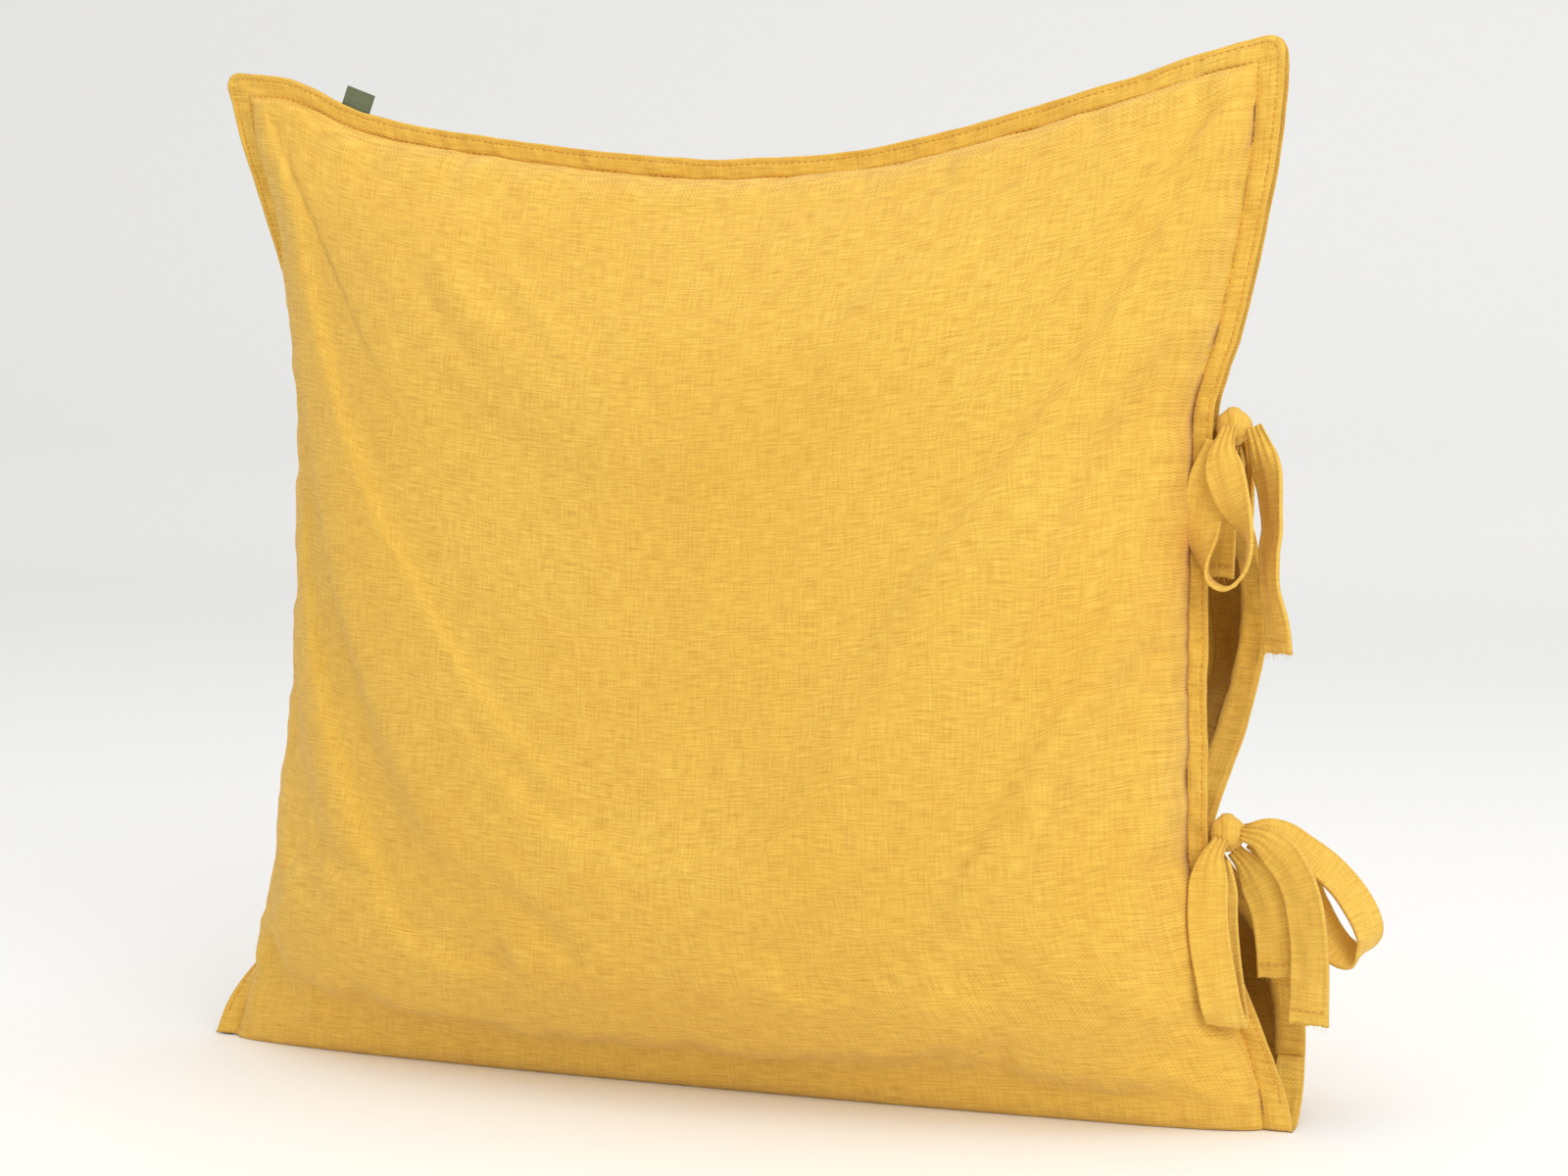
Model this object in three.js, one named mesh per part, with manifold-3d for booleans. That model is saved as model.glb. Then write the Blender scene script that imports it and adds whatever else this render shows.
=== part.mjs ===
// Square floor cushion, standing on its bottom edge: a linen cover with a topstitched hem all round, an open
// side held by two tied bows, and a removable insert.
// Millimetres, +Z up, +X towards the open side, front face towards -Y.
// The origin is on the floor, in the middle of the flattened base.
import * as THREE from "three";
import Module from "manifold-3d";

const wasm = await Module();
wasm.setup();

// ---- driving dimensions ----
const COVER = {
  height: 533, // corners of the top edge above the floor
  topWidth: 584, // corner to corner along the top
  baseSpread: 32, // extra width from corner to corner along the floor, spread by the weight
  topSag: 47, // dip of the top edge between its corners
  sidePinch: 44, // how far the closed side is drawn in at mid height
  thickness: 196, // front to back through the middle
  cloth: 1.6, // panel with its turned-in hem
  seamGap: 0.3, // between the two layers of the closed hem
};
const HEM = { width: 15, outerRow: 3.2, innerRow: 12.5 }; // hem band and its two stitch rows, from the edge
const MOUTH = {
  frontRoom: 3.2, // of each edge from the seam plane, where the mouth is closed
  backRoom: 3.4,
  upperGape: (84 / 584) * COVER.topWidth, // of the back edge between the two ties
  lowerGape: (66 / 584) * COVER.topWidth, // of the back edge below the lower tie
  frontGape: 5,
  upperInset: 33, // how far each tie draws the mouth's edge in
  lowerInset: 40,
};
// How much of each bulge the floor flattens, and the share of it that is left where it meets the floor.
const BASE = {
  frontDepth: 5,
  backDepth: 20,
  frontShare: 0.6,
  backShare: 1,
  height: 110,
  middleY: 15, // of the flat base, behind the seam plane
};
const FACING = {
  width: HEM.width + 23,
  thickness: 1.1,
  gap: 0.4 + 0.12 * (HEM.width - 15), // a wider hem bends the panel more sharply inside its seam
};
const THREAD = { width: 1.1, height: 0.7, gap: 0.3 };
const INSERT = {
  ease: 5.2,
  ticking: 1.0,
  fillGap: 1.8,
  floorGap: 0.4,
  sideEase: 1.6 * HEM.width,
  topEase: (26 / 15) * HEM.width,
};
const TIE_WIDTH = 20;
const RIBBON = {
  width: TIE_WIDTH,
  thickness: 0.055 * TIE_WIDTH,
  hem: 6, // hem stitches, from the end
  hemWidth: 15,
  hemThickness: 0.6,
  hemGap: 0.45,
};
const KNOT = {
  radius: 0.425 * RIBBON.width,
  depth: 0.375 * RIBBON.width,
  offset: 0.47 * RIBBON.width, // out from the mouth's edge
  y: -0.5,
  upper: (348 / 533) * COVER.height, // above the floor
  lower: (147 / 533) * COVER.height,
  pinch: 0.42, // share of the ribbon's width left at the knot
  reach: 1.2 * RIBBON.width, // distance over which a ribbon widens again
};
const TIE = { leadY: 1.35, leadLength: 14, leadWidth: 12.4, leadThickness: 0.9, gap: 0.5 };
const BOW_RIBBON = 20; // width of ribbon that the bows' paths are drawn for: they grow with the ribbon
const GRID = { column: 45, rows: 13 }; // spacing and number of the panels' facets
const PROBE = { across: 1.168, up: 2.132 }; // steps along the cloth that find its slope
const LABEL = { width: 17, height: 10.5, thickness: 0.9, inset: 79, gap: 0.6 };

const PAINT = {
  linen: [0xe8bd52, 0.92],
  shade: [0xc98f30, 0.94],
  thread: [0xd8a640, 0.75],
  ribbon: [0xe9bb4a, 0.88],
  ticking: [0xf2f0ea, 0.95],
  fibre: [0xfafaf7, 1.0],
  label: [0x6e7355, 0.85],
};

const clamp01 = (v) => Math.min(1, Math.max(0, v));
const lerp = (a, b, k) => a + (b - a) * k;
const smooth = (k) => k * k * (3 - 2 * k);

// ---- outline of the cover, as fractions: s runs -1 closed side to 1 mouth, t runs 0 floor to 1 top ----
const cornerX = (t) => (COVER.topWidth + COVER.baseSpread * (1 - t)) / 2;
const closedSideX = (t) => -cornerX(t) + COVER.sidePinch * (1 - Math.abs(2 * t - 1) ** 2.3);

// The mouth side is straight from each corner to its tie, and held in by the two ties.
const upperTie = KNOT.upper / COVER.height;
const lowerTie = KNOT.lower / COVER.height;
const mouthInset = (t) => {
  const above = (t - upperTie) / (1 - upperTie);
  if (t >= upperTie) return MOUTH.upperInset * (1 - smooth(above ** 0.8));
  if (t <= lowerTie) return MOUTH.lowerInset * smooth((t / lowerTie) ** 0.9);
  return lerp(MOUTH.lowerInset, MOUTH.upperInset, (t - lowerTie) / (upperTie - lowerTie));
};
const mouthX = (t) => cornerX(t) - mouthInset(t);
// The top edge hangs in a soft bow, rising straighter towards the mouth.
const topZ = (s) => {
  const power = lerp(1.5, 1.15, (s + 1) / 2);
  const rounding = 0.12;
  const rise = (a) => Math.hypot(a, rounding) ** power - rounding ** power;
  return COVER.height - COVER.topSag * (1 - rise(s) / rise(1));
};

const sideSeam = 1 - (2 * HEM.width) / COVER.topWidth;
const topSeam = 1 - HEM.width / COVER.height;

// Half thickness of the stuffed cover: zero along the sewn edges, fullest below the middle.
function bulge(s, t, back) {
  const floorDepth = back ? BASE.backDepth : BASE.frontDepth;
  const floorShare = back ? BASE.backShare : BASE.frontShare;
  const across = 1 - Math.min(1, Math.abs(s) / sideSeam) ** 2.4;
  const rise = (clamp01(t / topSeam) * COVER.height + floorDepth) / (COVER.height + floorDepth);
  const up = 1 - Math.abs(2 * rise ** 0.85 - 1) ** 2.4;
  const share = lerp(floorShare, 1, smooth(clamp01((t * COVER.height) / BASE.height)));
  return share * (COVER.thickness / 2) * Math.max(0, across * up) ** 0.42;
}

// How far one edge of the mouth stands away from the middle plane: closed above the upper tie.
function gape(t, back) {
  const room = back ? MOUTH.backRoom : MOUTH.frontRoom;
  const upper = back ? MOUTH.upperGape : MOUTH.frontGape;
  const lower = back ? MOUTH.lowerGape : MOUTH.frontGape;
  const hump = (a, b) => Math.sin(Math.PI * clamp01((t - a) / (b - a))) ** 1.4;
  const open = upper * hump(lowerTie, upperTie) + lower * hump(0, lowerTie);
  return room * smooth(clamp01((1 - t) / 0.03)) + open;
}
const mouthRamp = (s) => smooth(clamp01((s - 0.55) / 0.43));

// Middle of one panel's cloth; t below 0 is the part flattened on the floor, in from its edge to the middle.
function panelPoint(s, t, side) {
  const back = side > 0;
  const tt = Math.max(0, t);
  const x = (closedSideX(tt) * (1 - s) + mouthX(tt) * (1 + s)) / 2;
  const full = bulge(s, tt, back) + mouthRamp(s) * gape(tt, back);
  const out = t < 0 ? full * (1 + t) : full;
  const z = Math.max(COVER.cloth / 2, tt * topZ(s));
  return new THREE.Vector3(x, side * (out + (COVER.seamGap + COVER.cloth) / 2), z);
}

// Outward unit normal of the surface point(s, t), by differences.
function normalAt(point, s, t, side) {
  const across = (2 * PROBE.across) / COVER.topWidth;
  const up = PROBE.up / COVER.height;
  const ds = point(Math.min(1, s + across), t).sub(point(Math.max(-1, s - across), t));
  const dt = point(s, Math.min(1, t + up)).sub(point(s, Math.max(-1, t - up)));
  const n = ds.cross(dt);
  if (n.lengthSq() < 1e-12) return new THREE.Vector3(0, side, 0);
  n.normalize();
  return side < 0 ? n : n.negate();
}

// ---- mesh makers ----
function meshOf(name, positions, faces, paint) {
  const geometry = new THREE.BufferGeometry();
  geometry.setAttribute("position", new THREE.Float32BufferAttribute(positions, 3));
  geometry.setIndex(faces);
  geometry.computeVertexNormals();
  const [color, roughness] = paint;
  const material = new THREE.MeshStandardMaterial({ color, roughness, metalness: 0 });
  const mesh = new THREE.Mesh(geometry, material);
  mesh.name = name;
  return mesh;
}

// Closed body between two grids of the same size: outer faces out, inner faces in, with walls round the rim.
function shellMesh(name, outer, inner, columns, rows, side, paint) {
  const positions = [...outer, ...inner].flatMap((p) => [p.x, p.y, p.z]);
  const faces = [];
  const quad = (a, b, c, d) => {
    if (side < 0) faces.push(a, b, c, a, c, d);
    else faces.push(a, c, b, a, d, c);
  };
  const at = (i, j) => j * columns + i;
  const shift = outer.length;
  for (let j = 0; j < rows - 1; j++)
    for (let i = 0; i < columns - 1; i++) {
      quad(at(i, j), at(i + 1, j), at(i + 1, j + 1), at(i, j + 1));
      quad(shift + at(i, j), shift + at(i, j + 1), shift + at(i + 1, j + 1), shift + at(i + 1, j));
    }
  for (let i = 0; i < columns - 1; i++) {
    const top = rows - 1;
    quad(shift + at(i, 0), shift + at(i + 1, 0), at(i + 1, 0), at(i, 0));
    quad(at(i, top), at(i + 1, top), shift + at(i + 1, top), shift + at(i, top));
  }
  for (let j = 0; j < rows - 1; j++) {
    const end = columns - 1;
    quad(shift + at(0, j), at(0, j), at(0, j + 1), shift + at(0, j + 1));
    quad(at(end, j), shift + at(end, j), shift + at(end, j + 1), at(end, j + 1));
  }
  return meshOf(name, positions, faces, paint);
}

// A sheet of the given thickness whose middle is point(s, t).
function sheetMesh(name, point, columns, rows, side, thickness, paint) {
  const outer = [];
  const inner = [];
  for (const t of rows)
    for (const s of columns) {
      const p = point(s, t);
      const n = normalAt(point, s, t, side).multiplyScalar(thickness / 2);
      outer.push(p.clone().add(n));
      inner.push(p.clone().sub(n));
    }
  return shellMesh(name, outer, inner, columns.length, rows.length, side, paint);
}

// Flat strip swept along a path: each station has its place, the direction of the strip's width and,
// where the strip is gathered, the share of its width that is left.
function stripMesh(name, stations, width, thickness, paint) {
  const positions = [];
  const faces = [];
  stations.forEach(({ p, w, share = 1 }, i) => {
    const before = stations[Math.max(0, i - 1)].p;
    const after = stations[Math.min(stations.length - 1, i + 1)].p;
    const along = after.clone().sub(before).normalize();
    const across = w.clone().addScaledVector(along, -w.dot(along)).normalize();
    const up = along.clone().cross(across);
    for (const [a, b] of [[-1, -1], [1, -1], [1, 1], [-1, 1]]) {
      const q = p.clone().addScaledVector(across, (a * share * width) / 2);
      q.addScaledVector(up, (b * thickness) / 2);
      positions.push(q.x, q.y, q.z);
    }
  });
  const last = 4 * (stations.length - 1);
  for (let i = 0; i < stations.length - 1; i++)
    for (let k = 0; k < 4; k++) {
      const a = 4 * i + k;
      const b = 4 * i + ((k + 1) % 4);
      // Both broad faces are split along the same diagonal, so a twisted strip keeps its thickness.
      if (k === 2) faces.push(a, b, a + 4, b, b + 4, a + 4);
      else faces.push(a, b, b + 4, a, b + 4, a + 4);
    }
  faces.push(0, 2, 1, 0, 3, 2, last, last + 1, last + 2, last, last + 2, last + 3);
  return meshOf(name, positions, faces, paint);
}

// ---- grid stations, with lines along the hem and its stitch rows ----
const hemShare = (distance) => (2 * distance) / COVER.topWidth;
const sideLines = [0, HEM.outerRow, HEM.innerRow, HEM.width, FACING.width].map((d) => 1 - hemShare(d));
const topLines = [0, HEM.outerRow, HEM.innerRow, HEM.width, 2 * HEM.width].map((d) => 1 - d / COVER.height);
const middle = (count, low, high) =>
  Array.from({ length: count }, (_, i) => lerp(low, high, (i + 1) / (count + 1)));
const sideEnd = sideLines[sideLines.length - 1];
const columnCount = Math.round(COVER.topWidth / GRID.column);
const COLUMNS = [
  ...sideLines.map((s) => -s),
  ...middle(columnCount, -sideEnd, sideEnd),
  ...[...sideLines].reverse(),
];
const topStart = topLines[topLines.length - 1];
const panelRows = [-1, -0.5, 0, 0.02, 0.06, ...middle(GRID.rows, 0.06, topStart)];
const ROWS = [...panelRows, ...[...topLines].reverse()];

// ---- the cover ----
function panel(name, side) {
  const point = (s, t) => panelPoint(s, t, side);
  return sheetMesh(name, point, COLUMNS, ROWS, side, COVER.cloth, PAINT.linen);
}

// Turned-in strip sewn inside the mouth edge of one panel.
function mouthFacing(name, side) {
  const first = 1 - hemShare(FACING.width);
  const columns = COLUMNS.filter((s) => s > first - 1e-6 && s < 1);
  const rows = ROWS.filter((t) => t > 0.05 && t < 0.97);
  const inset = COVER.cloth / 2 + FACING.gap + FACING.thickness / 2;
  const point = (s, t) => {
    const cloth = (a, b) => panelPoint(a, b, side);
    return cloth(s, t).addScaledVector(normalAt(cloth, s, t, side), -inset);
  };
  return sheetMesh(name, point, columns, rows, side, FACING.thickness, PAINT.shade);
}

// One row of topstitching: up the closed side, along the top and down the mouth, on the face of one panel.
function topstitch(name, side, distance) {
  const s = 1 - hemShare(distance);
  const t = 1 - distance / COVER.height;
  const sides = ROWS.filter((row) => row > 0.01 && row < t - 1e-6);
  const tops = COLUMNS.filter((column) => Math.abs(column) < s - 1e-6);
  const route = [
    ...sides.map((row) => [-s, row]),
    [-s, t],
    ...tops.map((column) => [column, t]),
    [s, t],
    ...[...sides].reverse().map((row) => [s, row]),
  ];
  const lift = COVER.cloth / 2 + THREAD.gap + THREAD.height / 2;
  const point = (a, b) => panelPoint(a, b, side);
  const centre = new THREE.Vector3(0, side * 10, COVER.height / 2);
  const stations = route.map(([a, b]) => {
    const n = normalAt(point, a, b, side);
    const p = point(a, b);
    return { p: p.clone().addScaledVector(n, lift), n };
  });
  stations.forEach((station, i) => {
    const before = stations[Math.max(0, i - 1)].p;
    const after = stations[Math.min(stations.length - 1, i + 1)].p;
    station.w = after.clone().sub(before).cross(station.n).normalize();
    if (station.w.dot(centre.clone().sub(station.p)) < 0) station.w.negate();
  });
  return stripMesh(name, stations, THREAD.width, THREAD.height, PAINT.thread);
}

// ---- the insert ----
const insertSide = 1 - hemShare(INSERT.sideEase);
const insertTop = 1 - INSERT.topEase / COVER.height;

// Half thickness of the insert: the cover's, less its ease, drawn in to a seam of its own.
function insertBulge(s, t, side) {
  const inside = bulge(s, t, side > 0) - INSERT.ease;
  const edge = (1 - Math.abs(s / insertSide) ** 10) * (1 - clamp01(t / insertTop) ** 14);
  return Math.max(0, inside) * Math.max(0, edge) ** 0.5;
}

function insertPoint(s, t, side, half) {
  const tt = Math.max(0, t);
  const x = (closedSideX(tt) * (1 - s) + mouthX(tt) * (1 + s)) / 2;
  const full = insertBulge(s, tt, side);
  const out = t < 0 ? full * (1 + t) : full;
  const floor = COVER.cloth + COVER.seamGap + half;
  return new THREE.Vector3(x, side * (out + half + COVER.seamGap / 2), Math.max(floor, tt * topZ(s)));
}

const insertColumns = () => {
  const edge = [0.93, 0.97, 1].map((k) => k * insertSide);
  return [...[...edge].reverse().map((s) => -s), ...middle(11, -edge[0], edge[0]), ...edge];
};
const insertRows = () => {
  const edge = [0.9, 0.96, 1].map((k) => k * insertTop);
  return [-1, 0, 0.05, ...middle(10, 0.05, edge[0]), ...edge];
};

function ticking(name, side) {
  const half = INSERT.ticking / 2;
  const point = (s, t) => insertPoint(s, t, side, half);
  return sheetMesh(name, point, insertColumns(), insertRows(), side, INSERT.ticking, PAINT.ticking);
}

// Solid filling inside the ticking: its front and back follow the ticking's inner faces, short of the seam.
function filling(name) {
  const half = INSERT.ticking / 2;
  const columns = insertColumns().slice(2, -2);
  const rows = insertRows().slice(0, -1);
  const grid = (side) => {
    const skin = (s, t) => insertPoint(s, t, side, half);
    const inset = half + INSERT.fillGap;
    const lowest = COVER.cloth + COVER.seamGap + INSERT.ticking + INSERT.floorGap;
    const inner = (s, t) => {
      const p = skin(s, t).addScaledVector(normalAt(skin, s, t, side), -inset);
      return p.setZ(Math.max(lowest, p.z));
    };
    return rows.flatMap((t) => columns.map((s) => inner(s, t)));
  };
  return shellMesh(name, grid(-1), grid(1), columns.length, rows.length, -1, PAINT.fibre);
}

// ---- the ties ----
// A ribbon's path: hand-placed points from the middle of its knot, each with the direction of its width.
function ribbonStations(knot, points, steps) {
  const curve = new THREE.CatmullRomCurve3(points.map((q) => new THREE.Vector3(...q.at).add(knot)));
  curve.curveType = "centripetal";
  const widths = new THREE.CatmullRomCurve3(points.map((q) => new THREE.Vector3(...q.wide)));
  return Array.from({ length: steps + 1 }, (_, i) => {
    const k = i / steps;
    const p = curve.getPoint(k);
    const share = lerp(KNOT.pinch, 1, smooth(clamp01((p.distanceTo(knot) - KNOT.radius) / KNOT.reach)));
    return { p, w: widths.getPoint(k).normalize(), share };
  });
}

function ribbon(name, knot, points, steps, width = RIBBON.width, thickness = RIBBON.thickness) {
  return stripMesh(name, ribbonStations(knot, points, steps), width, thickness, PAINT.ribbon);
}

// Wrapped knot: a rounded lump, flattened front to back, with a waist where the ribbon crosses it.
function knotMesh(name, centre) {
  const geometry = new THREE.SphereGeometry(KNOT.radius, 14, 10);
  const place = geometry.getAttribute("position");
  for (let i = 0; i < place.count; i++) {
    const p = new THREE.Vector3().fromBufferAttribute(place, i);
    const waist = 1 - 0.12 * Math.cos((p.x / KNOT.radius) * Math.PI * 1.5) ** 2;
    place.setXYZ(i, centre.x + p.x, centre.y + (p.z * KNOT.depth * waist) / KNOT.radius, centre.z - p.y);
  }
  return joined(name, geometry, PAINT.ribbon);
}

// The same surface with its shared corners merged by manifold-3d into one closed body.
function joined(name, geometry, paint) {
  const seen = new Map();
  const points = [];
  const place = geometry.getAttribute("position");
  const remap = Array.from({ length: place.count }, (_, i) => {
    const p = [place.getX(i), place.getY(i), place.getZ(i)];
    const key = p.map((v) => Math.round(v * 1000)).join();
    if (!seen.has(key)) {
      seen.set(key, points.length / 3);
      points.push(...p);
    }
    return seen.get(key);
  });
  const corners = Array.from(geometry.index.array, (i) => remap[i]);
  const whole = [];
  for (let i = 0; i < corners.length; i += 3) {
    const [a, b, c] = corners.slice(i, i + 3);
    if (a !== b && b !== c && c !== a) whole.push(a, b, c);
  }
  const solid = new wasm.Manifold(
    new wasm.Mesh({
      numProp: 3,
      vertProperties: new Float32Array(points),
      triVerts: new Uint32Array(whole),
    }),
  );
  const made = solid.getMesh();
  return meshOf(name, Array.from(made.vertProperties), Array.from(made.triVerts), paint);
}

// Flattened tack of thread that closes a ribbon's end, seated on its front face.
function ribbonHem(name, knot, points, steps) {
  const stations = ribbonStations(knot, points, steps);
  const end = stations[steps];
  const along = end.p.clone().sub(stations[steps - 1].p).normalize();
  const across = end.w.clone().addScaledVector(along, -end.w.dot(along)).normalize();
  const up = along.clone().cross(across);
  if (up.y > 0) up.negate();
  const lift = RIBBON.thickness / 2 + RIBBON.hemThickness / 2 + RIBBON.hemGap;
  const middlePoint = end.p.clone().addScaledVector(along, -RIBBON.hem).addScaledVector(up, lift);
  const line = [-1, 1].map((k) => ({
    p: middlePoint.clone().addScaledVector(across, (k * RIBBON.hemWidth) / 2),
    w: along,
  }));
  return stripMesh(name, line, THREAD.width, RIBBON.hemThickness, PAINT.thread);
}

const FACE = [1, 0, 0];
const BOWS = {
  upper: {
    front_loop: [
      { at: [-0.5, -8.6, 0.5], wide: [1, 0, 0.2] },
      { at: [-2, -18, -14], wide: [1, 0, 0.35] },
      { at: [5, -27, -33], wide: [0.85, -0.35, 0.3] },
      { at: [13, -26, -54], wide: [0.35, -0.93, 0] },
      { at: [11, -24, -69], wide: [0.2, -1, 0] },
      { at: [3, -23, -77.5], wide: [0.1, -1, 0] },
      { at: [-7, -21, -72], wide: [0.2, -0.95, 0] },
      { at: [-11, -16.5, -48], wide: [0.85, -0.2, 0] },
      { at: [-9, -12.5, -24], wide: FACE },
      { at: [-6, -9.4, -7], wide: FACE },
    ],
    back_loop: [
      { at: [1, 8.3, -1], wide: FACE },
      { at: [2, 12, -12], wide: [0.8, -0.5, 0] },
      { at: [2, 14.5, -28], wide: [0.6, -0.8, 0] },
      { at: [2.2, 14.6, -42], wide: [0.6, -0.8, 0] },
      { at: [1, 14, -49], wide: [0.6, -0.8, 0] },
      { at: [-1.5, 12, -49.5], wide: [0.6, -0.8, 0] },
      { at: [-2.2, 11.4, -42], wide: [0.6, -0.8, 0] },
      { at: [-2, 11.6, -26], wide: [0.6, -0.8, 0] },
      { at: [-3, 8.6, -10.5], wide: FACE },
    ],
    right_tail: [
      { at: [10.6, -5, 0], wide: [0.35, 0, 1] },
      { at: [14, -6.5, -9], wide: [0.8, -0.2, 0.5] },
      { at: [18.5, -8.5, -25], wide: [0.75, -0.6, 0.1] },
      { at: [21.5, -10.5, -48], wide: [0.6, -0.8, 0] },
      { at: [20, -10.5, -62], wide: [0.6, -0.8, 0] },
      { at: [20.5, -10.5, -78], wide: [0.6, -0.8, 0] },
      { at: [24, -10.5, -95], wide: [0.7, -0.7, 0] },
      { at: [25, -10.5, -110], wide: [0.75, -0.66, 0] },
    ],
    back_tail: [
      { at: [-2, 0.6, -8.9], wide: FACE },
      { at: [-7.5, 0.6, -36], wide: FACE },
      { at: [-9.5, 0.6, -74], wide: FACE },
    ],
  },
  lower: {
    front_loop: [
      { at: [-1.5, -8, -2], wide: FACE },
      { at: [-5, -16, -14], wide: FACE },
      { at: [-4, -24, -42], wide: FACE },
      { at: [3, -31, -74], wide: FACE },
      { at: [6, -30.5, -86], wide: FACE },
      { at: [6.5, -26.5, -91], wide: FACE },
      { at: [6, -22.5, -86], wide: FACE },
      { at: [4, -21.5, -74], wide: FACE },
      { at: [-1, -15, -44], wide: FACE },
      { at: [-2, -10.6, -12], wide: FACE },
    ],
    right_loop: [
      { at: [8.1, 3.9, 0], wide: [0, 0.3, 1] },
      { at: [20, 9, 0], wide: [0.2, 0.6, 0.7] },
      { at: [35, 12.5, -8], wide: [0.42, 0.8, 0.42] },
      { at: [52, 13.2, -21], wide: [0.42, 0.8, 0.42] },
      { at: [64, 13.5, -36], wide: [0.42, 0.8, 0.42] },
      { at: [68.5, 13.5, -50], wide: [0.42, 0.8, 0.42] },
      { at: [63, 13.5, -60], wide: [0.42, 0.8, 0.42] },
      { at: [54, 13.5, -58], wide: [0.42, 0.8, 0.42] },
      { at: [46, 13.3, -48], wide: [0.42, 0.8, 0.42] },
      { at: [40, 13, -36], wide: [0.42, 0.8, 0.42] },
      { at: [34, 12.5, -22], wide: [0.42, 0.8, 0.42] },
      { at: [22, 11, -11], wide: [0.3, 0.6, 0.7] },
      { at: [9.8, 10.4, -4], wide: [0, 0.3, 1] },
    ],
    middle_tail: [
      { at: [8, -4.5, 0.8], wide: [0.35, 0, 1] },
      { at: [19, -6.5, -2], wide: [0.5, -0.1, 0.85] },
      { at: [31, -6.5, -13], wide: [0.8, -0.2, 0.55] },
      { at: [39, -6, -31], wide: [1, -0.3, 0.15] },
      { at: [42.5, -6, -60], wide: [1, -0.25, 0] },
      { at: [42.5, -6, -92], wide: [1, -0.1, 0] },
    ],
    back_tail: [
      { at: [3, 1.2, -8.8], wide: [1, 0, 0.25] },
      { at: [13, 1.2, -20], wide: [1, 0, 0.5] },
      { at: [21, 1.2, -37], wide: [1, 0, 0.3] },
      { at: [24.5, 1.2, -55], wide: [1, 0, 0.1] },
      { at: [25.5, 1.2, -71], wide: FACE },
    ],
  },
};
const STEPS = {
  front_loop: 48,
  back_loop: 32,
  right_loop: 40,
  right_tail: 14,
  middle_tail: 14,
  back_tail: 10,
};

const knotCentre = (t) => new THREE.Vector3(mouthX(t) + KNOT.offset, KNOT.y, t * COVER.height);

// Short lead of each tie, from under the hem to the knot.
function tieLead(name, knot, side) {
  const start = -KNOT.offset - TIE.leadLength;
  const y = side * TIE.leadY;
  const points = [start, -KNOT.offset - 3, -KNOT.radius - TIE.gap].map((x) => ({
    at: [x, y - KNOT.y, 0],
    wide: [0, 0, 1],
  }));
  return ribbon(name, knot, points, 3, TIE.leadWidth, TIE.leadThickness);
}

function bow(which, t) {
  const knot = knotCentre(t);
  const pieces = [knotMesh(`${which}_knot`, knot)];
  pieces.push(tieLead(`${which}_front_tie_lead`, knot, -1));
  pieces.push(tieLead(`${which}_back_tie_lead`, knot, 1));
  const size = RIBBON.width / BOW_RIBBON;
  for (const [part, drawn] of Object.entries(BOWS[which])) {
    const points = drawn.map(({ at, wide }) => ({ at: at.map((v) => v * size), wide }));
    const name = `${which}_${part}`;
    pieces.push(ribbon(name, knot, points, STEPS[part]));
    if (part.endsWith("tail")) pieces.push(ribbonHem(`${name}_hem`, knot, points, STEPS[part]));
  }
  return pieces;
}

// ---- the label ----
// Folded woven tab caught in the top hem: it stands on the hem's edge and leans with it.
function label(name) {
  const s = -1 + (2 * LABEL.inset) / COVER.topWidth;
  const half = LABEL.width / COVER.topWidth;
  const edge = (a) => panelPoint(a, 1, -1).setY(0);
  const across = edge(s + half).sub(edge(s - half)).normalize();
  const rise = new THREE.Vector3(-across.z, 0, across.x);
  const foot = edge(s).addScaledVector(rise, LABEL.gap);
  const stations = [0, 0.5, 1].map((k) => ({
    p: foot.clone().addScaledVector(rise, k * LABEL.height),
    w: across,
  }));
  return stripMesh(name, stations, LABEL.width, LABEL.thickness, PAINT.label);
}

const cushion = new THREE.Group();
cushion.add(panel("front_panel", -1), panel("back_panel", 1));
cushion.add(mouthFacing("front_mouth_facing", -1), mouthFacing("back_mouth_facing", 1));
for (const [face, side] of [["front", -1], ["back", 1]]) {
  cushion.add(topstitch(`${face}_topstitch_outer`, side, HEM.outerRow));
  cushion.add(topstitch(`${face}_topstitch_inner`, side, HEM.innerRow));
}
cushion.add(ticking("insert_front_ticking", -1), ticking("insert_back_ticking", 1));
cushion.add(filling("insert_filling"));
cushion.add(...bow("upper", upperTie), ...bow("lower", lowerTie), label("woven_label"));

// The seam lies in front of the middle of the flat base, which is where the origin is.
cushion.position.y = -BASE.middleY;

export default cushion;
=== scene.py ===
"""Looks of a square linen floor cushion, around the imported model: cover, hems, stitching, ties and insert."""

import logging
import math
from dataclasses import dataclass, field
from enum import Enum
from typing import Callable, Sequence

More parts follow.
